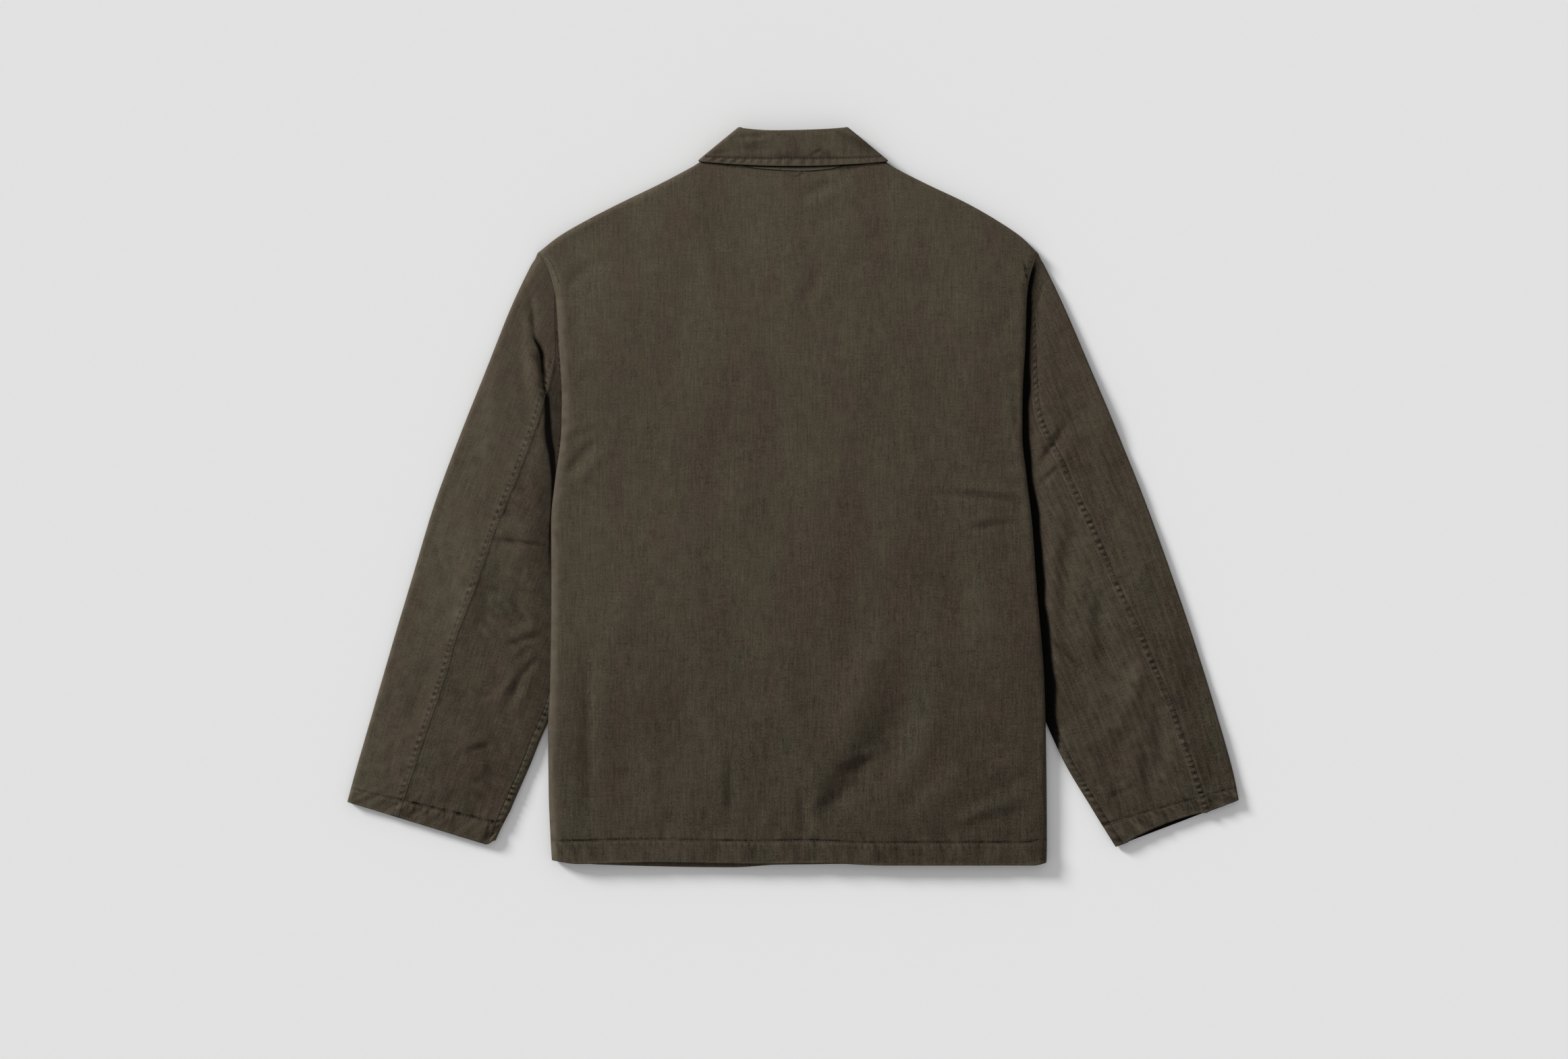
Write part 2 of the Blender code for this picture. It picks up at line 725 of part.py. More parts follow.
def leaf_section(side, part, share, wall):
    """One section of the leaf: from under the roll, over it and out to the free edge."""
    roll, edge, along, up, depth = collar_frame(side, part, share)
    points = []
    for i in range(5):
        angle = math.pi * (1 - i / 4)
        back = depth / 2 - (depth / 2 - wall) * math.sin(angle)
        under = depth / 2 - (depth / 2 - wall) * math.cos(math.pi - angle)
        points.append(roll + along * back - up * (depth - under))
    for i in (1, 2, 3, 4):
        place = mix(roll + along * (depth / 2), edge, i / 4)
        points.append(place - up * wall)
    return [tuple(point) for point in points]


def make_leaf():
    rings = []
    for side, part, share in collar_stations():
        outer = leaf_section(side, part, share, 0.0)
        inner = leaf_section(side, part, share, WALL)
        rings.append(outer + inner[::-1])
    ring_wall("collar_leaf", rings, CLOTH_COLOURS["collar"])


def neck_line(side, part, share):
    """The stand's lower edge, just inside the neck seam all round."""
    end = NECK_HALF - STAND_IN
    low = OVER_COLLAR_WING + WALL / 2
    if part == "back":
        x = side * end * share
        return (x, shoulder_y(x) + NECK_GAP, neck_seam_z(x) - WALL / 2)
    if part == "wing":
        x = side * mix(end, FRONT_END_X, share)
        return (x, front_top_y(x) + NECK_GAP * 1.5, low)
    high = neck_seam_z(NECK_HALF) - WALL / 2
    return (side * end, STAND_CORNER_Y, mix(high, low, ease(share)))


def stand_section(side, part, share, wall):
    """One section of the stand, from the neck seam up to the leaf's edge under the roll."""
    roll, _, along, up, depth = collar_frame(side, part, share)
    high = roll + along * (depth / 2 + ROLL_GAP) - up * (depth - WALL / 2)
    low = np.array(neck_line(side, part, share))
    offset = up * (WALL / 2 - wall)
    return [tuple(mix(low, high, i / 4) + offset) for i in range(5)]


def make_stand():
    rings = []
    for side, part, share in collar_stations():
        outer = stand_section(side, part, share, 0.0)
        inner = stand_section(side, part, share, WALL)
        rings.append(outer + inner[::-1])
    ring_wall("collar_stand", rings, CLOTH_COLOURS["collar"])


def button_mesh():
    """A plain four-hole button, its dished face down, before the holes are cut."""
    mesh = bpy.data.meshes.new("button")
    bm = bmesh.new()
    bmesh.ops.create_cone(
        bm,
        cap_ends=True,
        segments=24,
        radius1=BUTTON_RADIUS * MM,
        radius2=BUTTON_RADIUS * BUTTON_BACK * MM,
        depth=BUTTON_THICKNESS * MM,
    )
    face = min(bm.faces, key=lambda f: f.calc_center_median().z)
    bmesh.ops.inset_region(bm, faces=[face], thickness=BUTTON_RIM * MM)
    bmesh.ops.inset_region(bm, faces=[face], thickness=BUTTON_DISH * MM)
    bmesh.ops.translate(bm, verts=face.verts, vec=(0, 0, BUTTON_DISH * MM))
    bm.to_mesh(mesh)
    bm.free()
    return mesh


def add_holes(button, name):
    """Cuts the four thread holes through a button."""
    mesh = bpy.data.meshes.new(name)
    bm = bmesh.new()
    for side_x in (-1, 1):
        for side_y in (-1, 1):
            place = (side_x * HOLE_PLACE * MM, side_y * HOLE_PLACE * MM, 0)
            bmesh.ops.create_cone(
                bm,
                cap_ends=True,
                segments=8,
                radius1=HOLE_RADIUS * MM,
                radius2=HOLE_RADIUS * MM,
                depth=BUTTON_THICKNESS * 2 * MM,
                matrix=Matrix.Translation(place),
            )
    bm.to_mesh(mesh)
    bm.free()
    cutter = bpy.data.objects.new(name, mesh)
    bpy.context.scene.collection.objects.link(cutter)
    cutter.location = button.location
    cutter.hide_render = True
    cutter.display_type = "WIRE"
    holes = button.modifiers.new("holes", "BOOLEAN")
    holes.object = cutter


def make_buttons():
    """Buttons down the centre front, which lie face down under the placket."""
    for number, index in enumerate(BUTTON_ROWS, start=1):
        button = add_object(f"button_{number}", button_mesh(), BUTTON_COLOUR, 0.45)
        height = BUTTON_LOW + BUTTON_THICKNESS / 2
        button.location = (0.0, button_y(index) * MM, height * MM)
        add_holes(button, f"button_holes_{number}")


def main():
    for obj in list(bpy.data.objects):
        bpy.data.objects.remove(obj, do_unlink=True)
    make_back()
    make_fronts()
    make_sleeve("left", -1, SLEEVE_LEFT, LEFT_SLEEVE_FOLDS)
    make_sleeve("right", 1, SLEEVE_RIGHT, RIGHT_SLEEVE_FOLDS)
    make_leaf()
    make_stand()
    make_buttons()


main()
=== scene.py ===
"""Deck jacket laid flat with its back up: cloth, seams, stitches and the studio around them.

Each cloth piece is a thin shell on its cut piece's form. Its height is worked out from the
jacket's own sizes, its folds and its seams. Tables are in millimetres, the scene is in metres.
"""

import math
from collections import namedtuple
from functools import partial

import bmesh
import bpy
import numpy as np
from bpy.props import FloatProperty, FloatVectorProperty, PointerProperty
from bpy.types import Operator, Panel, PropertyGroup
from mathutils import Matrix, Vector, noise


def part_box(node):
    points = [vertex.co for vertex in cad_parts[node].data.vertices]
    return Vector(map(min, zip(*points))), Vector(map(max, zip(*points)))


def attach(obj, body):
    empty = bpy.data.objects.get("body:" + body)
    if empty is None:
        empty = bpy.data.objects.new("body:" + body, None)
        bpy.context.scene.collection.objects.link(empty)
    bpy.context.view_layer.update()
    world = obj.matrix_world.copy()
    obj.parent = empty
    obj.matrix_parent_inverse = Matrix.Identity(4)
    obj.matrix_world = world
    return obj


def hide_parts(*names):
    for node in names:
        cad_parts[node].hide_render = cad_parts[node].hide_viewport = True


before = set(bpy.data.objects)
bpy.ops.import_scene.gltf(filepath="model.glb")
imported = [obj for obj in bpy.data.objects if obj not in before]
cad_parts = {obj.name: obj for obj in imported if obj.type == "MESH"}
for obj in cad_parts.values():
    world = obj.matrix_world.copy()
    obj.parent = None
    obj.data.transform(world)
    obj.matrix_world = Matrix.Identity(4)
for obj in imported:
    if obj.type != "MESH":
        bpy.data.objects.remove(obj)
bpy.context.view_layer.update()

bl_info = {
    "name": "Deck jacket",
    "version": (1, 0, 0),
    "blender": (4, 5, 0),
    "location": "3D View > Sidebar > Deck jacket",
    "description": "Builds a deck jacket laid flat, with its cloth, stitching and studio",
    "category": "Object",
}

MM = 0.001

# The jacket's own sizes, in millimetres
SEAM_GAP = 0.3
SEAM_TUCK = 1.2
SEAM_DROP = 0.6
BODY_LOFT = 12.5
SLEEVE_LOFT = 7.2
TUCKED_SLEEVE = 4.0
SIDE_RADIUS = 8.0
SHOULDER_SEAM_Z = 6.2
SIDE_SEAM_Z = 8.6
HEM_SIDE_SEAM_Z = 6.2
ARMHOLE_EDGE_Z = 9.2
ARMHOLE_GAP = 0.8
ARMHOLE_TUCK = 3.6
ARMHOLE_RADIUS = 20.0
CUFF_GAPE = 4.4
NECK_SEAM_Z = 11.4
HEM_WIDTH = 24.0
CUFF_HEM_WIDTH = 20.0
HEM_RISE = 0.6
FELL_WIDTH = 6.5
FELL_RISE = 0.55
SEAM_ROW_IN = 1.6
HEM_ROW_IN = 0.8
INNER_SEAM_IN = 8.5
COLLAR_WING_CLEARANCE = 2.2
SLEEVE_CLEARANCE = 4.5
PLACKET_HALF = 18.0
BUTTON_LIFT = 3.3
FRONT_OVERLAP = 2.5
SLEEVE_FOLD = 5.0
SLEEVE_STEP = 1.75
CUFF_CORNER = 13.0

# The body's edges down the page: y, left x and right x
BODY_EDGES = (
    (253.8, -265.7, 254.5), (246.8, -259.4, 251.4), (234.2, -253.0, 247.2), (222.5, -249.6, 244.6),
    (208.0, -246.6, 242.8), (160.0, -243.3, 241.2), (104.7, -240.2, 238.3), (66.9, -240.8, 238.0),
    (20.7, -246.8, 242.6), (-26.3, -251.2, 248.2), (-92.8, -251.0, 253.0), (-193.9, -252.4, 261.1),
    (-238.4, -254.4, 262.2), (-306.3, -253.8, 263.3), (-358.8, -251.6, 263.6), (-384.0, -250.0, 263.0),
)

# The top edge and the hems, as (x, y)
SHOULDER_LINE = (
    (-265.7, 253.8), (-243.3, 271.3), (-213.2, 288.8), (-178.9, 306.3), (-135.5, 327.3),
    (-103.3, 344.4), (-96.0, 348.6), (-78.0, 351.0), (-60.0, 346.5), (-36.0, 341.0),
    (12.0, 338.7), (36.0, 340.4), (60.0, 346.0), (78.0, 351.0), (96.0, 348.6),
    (102.6, 344.4), (135.5, 327.3), (179.6, 306.3), (210.4, 288.8), (236.3, 271.3),
    (254.5, 253.8),
)
NECK_HALF = 78.0
FRONT_NECK_DROP = 66.0

BACK_HEM = (
    (-265.7, -376.0), (-238.0, -379.6), (-158.6, -377.7), (-40.3, -379.4), (15.8, -378.7),
    (85.1, -381.2), (240.0, -381.2), (254.5, -378.6),
)
FRONT_HEM = (
    (-265.7, -376.0), (-215.0, -381.2), (-67.8, -384.0), (-10.0, -381.0), (60.0, -380.6),
    (240.0, -380.6), (254.5, -378.6),
)

# A sleeve's sections from armhole to cuff: its two ends, and the back seam's share of the way
SleeveRow = namedtuple("SleeveRow", "inner_x inner_y outer_x outer_y seam")
SLEEVE_LEFT = (
    (-247.6, 208.0, -266.5, 253.6, 0.26),
    (-238.0, 150.0, -291.6, 201.3, 0.16),
    (-233.0, 82.0, -319.6, 131.3, 0.30),
    (-239.0, 15.0, -347.6, 61.3, 0.39),
    (-242.0, -54.0, -373.5, -8.8, 0.50),
    (-242.0, -124.0, -394.5, -78.8, 0.583),
    (-243.0, -190.0, -415.5, -148.8, 0.644),
    (-267.0, -262.0, -435.8, -218.8, 0.651),
    (-292.6, -322.0, -456.0, -288.8, 0.654),
    (-309.0, -363.0, -463.1, -315.6, 0.654),
)
SLEEVE_RIGHT = (
    (243.7, 208.0, 255.4, 253.6, 0.42),
    (233.0, 150.0, 280.4, 201.3, 0.30),
    (228.0, 82.0, 310.5, 131.3, 0.26),
    (234.0, 15.0, 339.9, 61.3, 0.39),
    (239.0, -54.0, 367.9, -8.8, 0.513),
    (244.0, -124.0, 393.1, -78.8, 0.602),
    (250.0, -190.0, 416.9, -148.8, 0.682),
    (275.5, -262.0, 438.6, -218.8, 0.717),
    (310.0, -322.0, 458.2, -288.8, 0.713),
    (335.0, -362.4, 463.1, -313.6, 0.703),
)

# Folds: a line with a sideways bow, its half width, and how far the cloth rises or sinks
Fold = namedtuple("Fold", "x0 y0 x1 y1 bow half_width rise")


def folds(*rows):
    return tuple(Fold(*row) for row in rows)


BODY_FOLDS = folds(
    (128, -188, 2, -354, -10, 17, -4.4), (80, -258, 28, -338, 0, 13, -3.2),
    (113, -112, 44, -300, 10, 20, 3.4), (150, -200, 94, -322, -8, 15, 3.0),
    (182, -268, 120, -345, 0, 14, 2.4), (96, -262, 44, -278, 3, 4, 1.8),
    (92, -270, 40, -288, 3, 4, -1.8), (84, -288, 34, -302, 2, 4, 1.3),
    (70, -306, 18, -324, 2, 5, -1.5), (262, -318, 150, -350, 0, 6, -2.0),
    (262, -300, 160, -338, 0, 6, 1.8), (262, -282, 176, -322, 3, 5, -1.4),
    (240, -262, 190, -296, 0, 6, 1.2), (248, -6, 132, 4, 3, 3.6, -2.6),
    (247, 0, 158, 10, 3, 5, 1.8), (247, -14, 196, -20, 0, 3.6, -2.2),
    (241, -22, 172, -34, 0, 3.6, -2.6), (242, -15, 178, -26, 0, 4.5, 1.8),
    (249, -13, 226, -5, 0, 3.2, -2.2), (240, 38, 196, 30, 0, 4, -1.3),
    (252, -60, 214, -52, 0, 4, -1.2), (239, 136, 222, 130, 0, 3.4, -1.8),
    (239, 120, 224, 112, 0, 3.4, -1.8), (239, 104, 222, 100, 0, 3.4, -1.6),
    (240, 84, 226, 78, 0, 3.4, -1.4), (-240, 18, -200, 66, 0, 5, -2.2),
    (-236, 8, -188, 52, 0, 6, 1.6), (-236, 60, -196, 74, 0, 5, -1.2),
    (-230, 120, -196, 130, 0, 6, -0.9), (-214, -140, -212, -350, 0, 7, -2.2),
    (-200, -150, -200, -340, 0, 9, 1.3), (-65, -240, -66, -352, 0, 4, -1.9),
    (-74, -250, -76, -350, 0, 8, 1.1), (10, -296, 10, -362, 0, 4.5, -2.2),
    (22, -300, 24, -362, 0, 7, 1.4), (-20, -318, -36, -360, 0, 6, 1.2),
    (-120, -318, -140, -350, 0, 7, -1.2), (-160, -300, -130, -352, 0, 9, 1.1),
    (48, 332, 0, 308, 0, 6, -2.0), (54, 322, 8, 298, 0, 8, 1.2),
    (66, 306, 20, 280, -3, 7, -1.0), (32, 246, 6, 192, 0, 6, -1.3),
    (44, 240, 20, 190, 0, 7, 1.0), (-44, 62, -30, 44, 0, 4, 1.0),
    (-150, 250, -215, 120, 14, 30, 1.8), (150, 240, 205, 90, -12, 30, 1.8),
    (30, 60, 40, -90, 8, 36, 1.5), (-120, 40, -100, -190, 10, 40, 1.8),
    (-60, 150, -90, -20, -8, 22, -1.3), (110, 150, 90, 20, 6, 24, -1.3),
    (236, 122, 230, 62, 0, 4, -2.0), (226, 110, 220, 70, 0, 6, 1.0),
    (-232, 200, -205, 150, 4, 9, -1.4), (232, 210, 206, 160, -4, 9, -1.2),
    (-150, -60, -190, -200, 6, 18, 1.4), (-30, -120, -10, -250, 0, 22, 1.2),
    (200, -60, 215, -220, 6, 20, 1.5), (-90, -180, -150, -250, 4, 16, -1.2),
    (150, -60, 190, -150, 0, 18, -1.2), (-160, -230, -140, -340, 0, 12, 1.1),
    (-90, 300, -60, 240, 6, 16, -1.1), (90, 300, 70, 230, -6, 18, -1.1),
    (0, 320, 0, 150, 6, 26, 1.0), (-200, 250, -236, 214, 3, 6, -1.2),
    (-190, 262, -228, 232, 3, 7, 1.0),
)
LEFT_SLEEVE_FOLDS = folds(
    (-274, 226, -266, 150, 0, 4, -1.8), (-262, 172, -257, 96, 0, 3.5, -2.8),
    (-268, 176, -262, 110, 0, 5, 1.8), (-274, 190, -262, 90, 4, 7, 1.8),
    (-282, 206, -262, 40, 8, 8, -1.6), (-256, 130, -240, 142, 0, 4, 1.4),
    (-268, 150, -250, 126, 2, 4, -1.8), (-320, -42.5, -238, -52, 0, 2.4, -2.8),
    (-330, -26, -262, -40, 0, 7, 1.6), (-320, -46, -262, -64, 0, 7, 1.2),
    (-250, -140, -306, -156, 0, 4, -2.2), (-254, -132, -300, -144, 0, 6, 1.2),
    (-256, -158, -300, -215, 4, 4, -2.4), (-262, -176, -290, -232, 4, 6, 1.5),
    (-268, -150, -296, -176, 0, 4, -1.4), (-300, -222, -276, -186, 0, 4, -1.8),
    (-314, -218, -286, -180, 0, 6, 1.3), (-342, -264, -312, -256, 0, 3.5, -1.8),
    (-342, -256, -314, -248, 0, 6, 1.0), (-300, 170, -312, 10, 6, 13, 2.4),
    (-330, -10, -354, -180, -4, 14, 2.6), (-330, -200, -352, -320, 0, 13, 1.8),
    (-350, 40, -380, -60, 0, 9, -1.6), (-300, -60, -330, -150, 0, 10, -1.7),
    (-372, -150, -404, -260, 0, 10, -1.7), (-306, -240, -326, -330, 0, 9, -1.6),
    (-390, -220, -430, -310, 0, 10, 1.3), (-275, -40, -300, -90, 0, 8, 1.4),
    (-290, -90, -276, -140, 0, 7, -1.3), (-340, -300, -366, -326, 0, 7, -1.2),
    (-412, -250, -420, -300, 0, 7, -1.2),
)
RIGHT_SLEEVE_FOLDS = folds(
    (262, 229, 249, 188, 0, 1.7, -1.7), (288, 82, 250, 26, 0, 4, -2.6),
    (298, 72, 264, 20, 0, 7, 1.6), (280, 36, 250, 8, 0, 3.5, -1.8),
    (308, 70, 276, 92, 0, 6, -1.2), (304, 20, 297, -232, 20, 10, -2.6),
    (320, -84, 328, -196, 4, 9, -3.6), (302, -150, 286, -262, 8, 24, -2.4),
    (284, 0, 276, -210, 14, 11, 1.8), (260, -140, 310, -183, 0, 2.2, -3.0),
    (262, -156, 300, -190, 0, 6, 1.2), (364, -150, 312, -268, -10, 11, 3.6),
    (340, -200, 330, -290, 0, 11, -2.0), (376, -210, 384, -290, 0, 7, -2.4),
    (364, -262, 372, -314, 0, 6, -2.2), (356, -290, 336, -306, 0, 4, 1.8),
    (350, -300, 326, -314, 0, 4, -1.8), (300, 180, 322, 40, -8, 13, 2.2),
    (340, 20, 372, -120, 4, 13, 2.0), (268, 160, 290, 90, 0, 8, -1.4),
    (330, 60, 350, -30, 0, 9, -1.6), (350, -240, 362, -330, 0, 9, 1.4),
    (330, -280, 345, -345, 0, 7, -1.6), (400, -120, 420, -230, 0, 10, -1.8),
    (395, -230, 430, -300, 0, 10, 1.6), (384, -190, 404, -280, 0, 7, 1.2),
    (300, -236, 322, -300, 0, 7, 1.3), (312, -240, 330, -310, 0, 6, -1.2),
    (420, -260, 444, -300, 0, 7, -1.2),
)
LEAF_FOLDS = folds(
    (-64, 375, -22, 375.5, 1, 2.6, -1.1), (-58, 370, -20, 371, 1, 3, 0.7),
    (-18, 377, -4, 371, 0, 2.2, -0.7), (14, 353, 33, 363, 1, 1.7, -0.8),
    (20, 352, 37, 360, 0, 2.4, 0.3), (48, 373, 60, 360, 0, 2.2, -0.7),
    (-64, 362, -8, 360, 0, 3, -0.6), (66, 360, 88, 352, 0, 2, -0.6),
    (-86, 356, -60, 360, 0, 2, -0.5),
)

# A line round the collar: its half width, its y at the side and the middle of the back, where
# it ends at the front, its height at the back, and how far and how late that falls to the side
CollarLine = namedtuple("CollarLine", "half y middle_y front_x front_y z drop power")
ROLL_LINE = CollarLine(55.5, 385.4, 381.0, 3.0, 330.0, 20.0, 1.5, 3)
LEAF_EDGE = CollarLine(98.6, 350.2, 343.6, 58.0, 288.0, 14.4, 0.8, 1)
ROLL_DEPTH = 6.0
FRONT_ROLL_DEPTH = 4.4
COLLAR_SIDE_RADIUS = 4.0
COLLAR_TOPSTITCH = 7.8

# Rubbing, and painted light and shade
PUCKER_STEP = 7.0
FOLD_TONE = 0.045
FOLD_TONE_MOST = 0.15
CUFF_SHADE = -0.93
# By a sleeve's side: its narrow piece and its large one
PANEL_TONES = {-1: (-0.14, 0.2), 1: (0.17, 0.0)}
BACK_HEM_SEED = 1.3
BACK_SEAM_SEED = 5.5
SLEEVE_SEAM_SEED = 20.0
CUFF_HEM_SEED = 14.0
INNER_SEAM_SEED = 8.0

# The grid over a body panel: fine steps beside an edge, below the top and above the hem, and
# for each panel its columns and its rows in the three bands
BACK_GRID = (152, (12, 200, 24))
FRONT_GRID = (70, (8, 110, 10))
EDGE_BAND = 9.0
EDGE_STEPS = 8
TOP_BAND = 14
HEM_BAND = HEM_WIDTH + 6

# Thread: a ring of it seen end on, and sizes in millimetres but for the stitch's, in metres
STITCH_RING = [(math.cos(math.tau * i / 6), math.sin(math.tau * i / 6)) for i in range(6)]
STITCH_RADIUS = 0.00028
STITCH_LIFT = 0.1
LOOSE_THREAD_RADIUS = 0.4
SEAM_ROWS = (SEAM_ROW_IN, FELL_WIDTH)

# The sun's way, strength and size in degrees, the grey of the surround, and the floor in metres
SUN_WAY = (0.74, -0.53, -0.38)
SUN_ENERGY = 3.8
SUN_ANGLE = 16
SURROUND = 0.57
FLOOR_SIZE = 30
FLOOR_DROP = 0.0002

# The camera looks straight down; the picture's frame is this wide and this far off the middle
FRAME_WIDTH = 2324 * 0.70
FRAME_CENTRE = (-9.45, -32.9)


class JacketSizes(PropertyGroup):
    cloth: FloatProperty(
        name="Cloth", description="Thickness of the cloth", default=0.0011, subtype="DISTANCE"
    )
    column: FloatProperty(
        name="Twill column",
        description="Width of one column of the herringbone",
        default=0.0042,
        subtype="DISTANCE",
    )
    stitch: FloatProperty(
        name="Stitch", description="Length of one stitch", default=0.0026, subtype="DISTANCE"
    )
    stitch_step: FloatProperty(
        name="Stitch step",
        description="Distance from one stitch to the next",
        default=0.0034,
        subtype="DISTANCE",
    )
    lens: FloatProperty(name="Lens", description="Focal length in millimetres", default=85.0)


class JacketColours(PropertyGroup):
    olive: FloatVectorProperty(
        name="Olive", description="Cloth's olive", default=(0.0650, 0.0550, 0.0368), subtype="COLOR"
    )
    brown: FloatVectorProperty(
        name="Brown", description="Cloth's brown", default=(0.0590, 0.0441, 0.0314), subtype="COLOR"
    )
    # Also the colour of painted highlights.
    worn_and_painted_shading: FloatVectorProperty(
        name="Worn and highlight", description="Rubbed edges", default=(0.100, 0.083, 0.060), subtype="COLOR"
    )
    thread: FloatVectorProperty(
        name="Thread", description="Stitching", default=(0.050, 0.041, 0.029), subtype="COLOR"
    )
    button: FloatVectorProperty(
        name="Button", description="Plastic", default=(0.030, 0.022, 0.016), subtype="COLOR"
    )
    floor: FloatVectorProperty(
        name="Floor", description="Pale studio floor", default=(0.73, 0.73, 0.73), subtype="COLOR"
    )


def sizes():
    return bpy.context.scene.jacket_sizes


def colours():
    return bpy.context.scene.jacket_colours


def curve(rows):
    """A smooth reading of (at, value) rows that never swings past them."""
    at, value = np.array(sorted(rows), float).T
    step = np.diff(at)
    slope = np.diff(value) / step
    turn = slope[:-1] * slope[1:]
    total = np.where(turn > 0, slope[:-1] + slope[1:], 1.0)
    middle = np.where(turn > 0, 2 * turn / total, 0.0)
    tangent = np.concatenate([slope[:1], middle, slope[-1:]]).tolist()
    at, value, step = at.tolist(), value.tolist(), step.tolist()

    def read(x):
        x = min(max(x, at[0]), at[-1])
        i = 0
        while i < len(step) - 1 and x > at[i + 1]:
            i += 1
        q = (x - at[i]) / step[i]
        rise = value[i] + (value[i + 1] - value[i]) * q * q * (3 - 2 * q)
        bend = tangent[i] * q * (1 - q) ** 2 - tangent[i + 1] * q * q * (1 - q)
        return rise + bend * step[i]

    return read


def mix(a, b, share):
    return a + (b - a) * share


def spread(start, end, count, last=1):
    """Even places from start to end; with last 0 they stop one short of the end."""
    return [mix(start, end, i / (count - last)) for i in range(count)]


def ease(q):
    q = min(max(q, 0.0), 1.0)
    return q * q * (3 - 2 * q)


def fall(q):
    return 1 - ease(q)


def round_rise(q):
    """The height of a quarter circle, from 0 at its foot to 1."""
    q = min(max(q, 0.0), 1.0)
    return math.sqrt(1 - (1 - q) ** 2)


def bump(distance, half_width):
    return math.exp(-((distance / half_width) ** 2))


def ripple(x, y, size, seed=0.0):
    """Uneven cloth: smooth noise from about -1 to 1, with hills about size across."""
    return 2 * noise.noise(Vector((x / size, y / size, seed)))


left_edge = curve([(y, left) for y, left, right in BODY_EDGES])
right_edge = curve([(y, right) for y, left, right in BODY_EDGES])
shoulder_y = curve(SHOULDER_LINE)
back_hem_y = curve(BACK_HEM)
front_hem_y = curve(FRONT_HEM)

# Painted shade in dark lines beside the body's edges, by y: the right gap's width, and where each
# crease lies
right_gap_width = curve(
    ((-262, 13), (-233, 12.3), (-198, 10.6), (-145, 9.6), (-58, 8.4), (8, 8), (110, 7.3), (246, 5.4))
)
left_crease = curve(
    ((-130, -252), (-60, -252.5), (18, -249), (44, -250.5), (64, -254), (84, -255), (112, -256))
)
left_pleat = curve(
    ((104, -257.5), (112, -258), (133, -259.3), (148, -261), (160, -265.6), (178, -271), (212, -272))
)
armhole_pleat = curve(((216, 243.6), (222, 243.6), (232, 241.8), (241, 240.0), (250, 240.0)))


def fold_rise(table, x, y):
    """How far the folds lift the cloth at a point; each fades out towards its two ends."""
    total = 0.0
    for fold in table:
        run_x = fold.x1 - fold.x0
        run_y = fold.y1 - fold.y0
        squared = run_x * run_x + run_y * run_y
        along = ((x - fold.x0) * run_x + (y - fold.y0) * run_y) / squared
        if not 0 < along < 1:
            continue
        across = ((x - fold.x0) * run_y - (y - fold.y0) * run_x) / math.sqrt(squared)
        across -= fold.bow * 4 * along * (1 - along)
        if abs(across) > 3 * fold.half_width:
            continue
        falloff = ease(min(along, 1 - along) / 0.35)
        total += fold.rise * falloff * bump(across, fold.half_width)
    return total


def painted_fold_shading(table, x, y):
    """Painted light and shade on the folds: folds that rise are a little paler, and folds that sink
    are darker.
    """
    return min(max(FOLD_TONE * fold_rise(table, x, y), -FOLD_TONE_MOST), FOLD_TONE_MOST)


def pucker(along, step, seed):
    """Uneven puckers along a stitched row, about one to a step: -1 in the dips, 1 on the tops."""
    phase = along / step + 0.4 * ripple(along, 0, 31, seed)
    strength = 0.9 + 0.7 * ripple(along, 9, 23, seed)
    return math.sin(math.tau * phase) * min(max(strength, 0.4), 1.3)


def seam_relief(away, along, seed):
    """A felled seam at away 0 to FELL_WIDTH: a raised band with two stitched rows and puckers."""
    band = ease(away / 0.8 + 0.5) * fall((away - FELL_WIDTH) / 1.2)
    rows = bump(away - SEAM_ROW_IN, 0.8) + bump(away - FELL_WIDTH, 0.9)
    crimp = pucker(along, PUCKER_STEP, seed) * bump(away - 4.6, 2.4)
    loose = ripple(along, away * 0.35, 11, seed) * bump(away - 3.5, 9)
    return FELL_RISE * band - 0.35 * rows + 0.95 * crimp + 0.6 * loose


def seam_tone(away, along, seed):
    """How a felled seam is paler, above 0, or darker, below 0: a painted highlight on its ridge,
    painted shade in the ditch beside it and by its outer row, and painted light and shade on its
    puckers.
    """
    crimp = pucker(along, PUCKER_STEP, seed)
    tone = 0.6 * bump(away - 0.3, 1.0) - 0.42 * bump(away + 1.2, 1.0)
    tone += 0.95 * max(crimp, -0.45) * bump(away - 4.8, 2.3)
    tone -= 0.34 * bump(away - FELL_WIDTH - 0.4, 0.9)
    return tone + 0.28 * bump(away - FELL_WIDTH - 2.2, 1.2)


def hem_relief(up, along, width, seed):
    """A turned hem at up 0 to width: thicker, with a stitched row along its top and puckers."""
    band = fall((up - width) / 1.2)
    row = bump(up - width + HEM_ROW_IN, 1.0)
    slant = along + 0.7 * up
    crimp = ripple(slant, up * 0.12, 8.5, seed) * bump(up - width + 7, 14.0)
    return HEM_RISE * band - 0.45 * row + 1.15 * crimp


def hem_tone(up, along, width, seed):
    """How a turned hem is paler, above 0, or darker, below 0: pale along its folded edge, a painted
    highlight just below its stitched row, painted light and shade on its puckers, and painted shade
    just above the row.
    """
    crimp = pucker(along, 6.4, seed)
    tone = 0.5 * bump(up - 0.6, 1.3) + 0.25 * bump(up - width + 2.6, 1.5)
    tone += 0.3 * ripple(along, up * 0.2, 9.0, seed) * bump(up - width / 2, width / 2)
    tone += 0.34 * crimp * bump(up - width + 4.5, 3.2)
    return tone - (0.68 + 0.22 * crimp) * bump(up - width - 0.2, 1.4)


def side_seam_z(y):
    return mix(HEM_SIDE_SEAM_Z, SIDE_SEAM_Z, sleeve_under_body(y))


def armhole_share(y):
    """1 along the armhole, where the body lies on the sleeve's end, and 0 along the side fold."""
    return ease((y - 212) / 22)


def neck_seam_z(x):
    return mix(NECK_SEAM_Z, SHOULDER_SEAM_Z + 0.4, ease((abs(x) - 64) / (NECK_HALF - 64)))


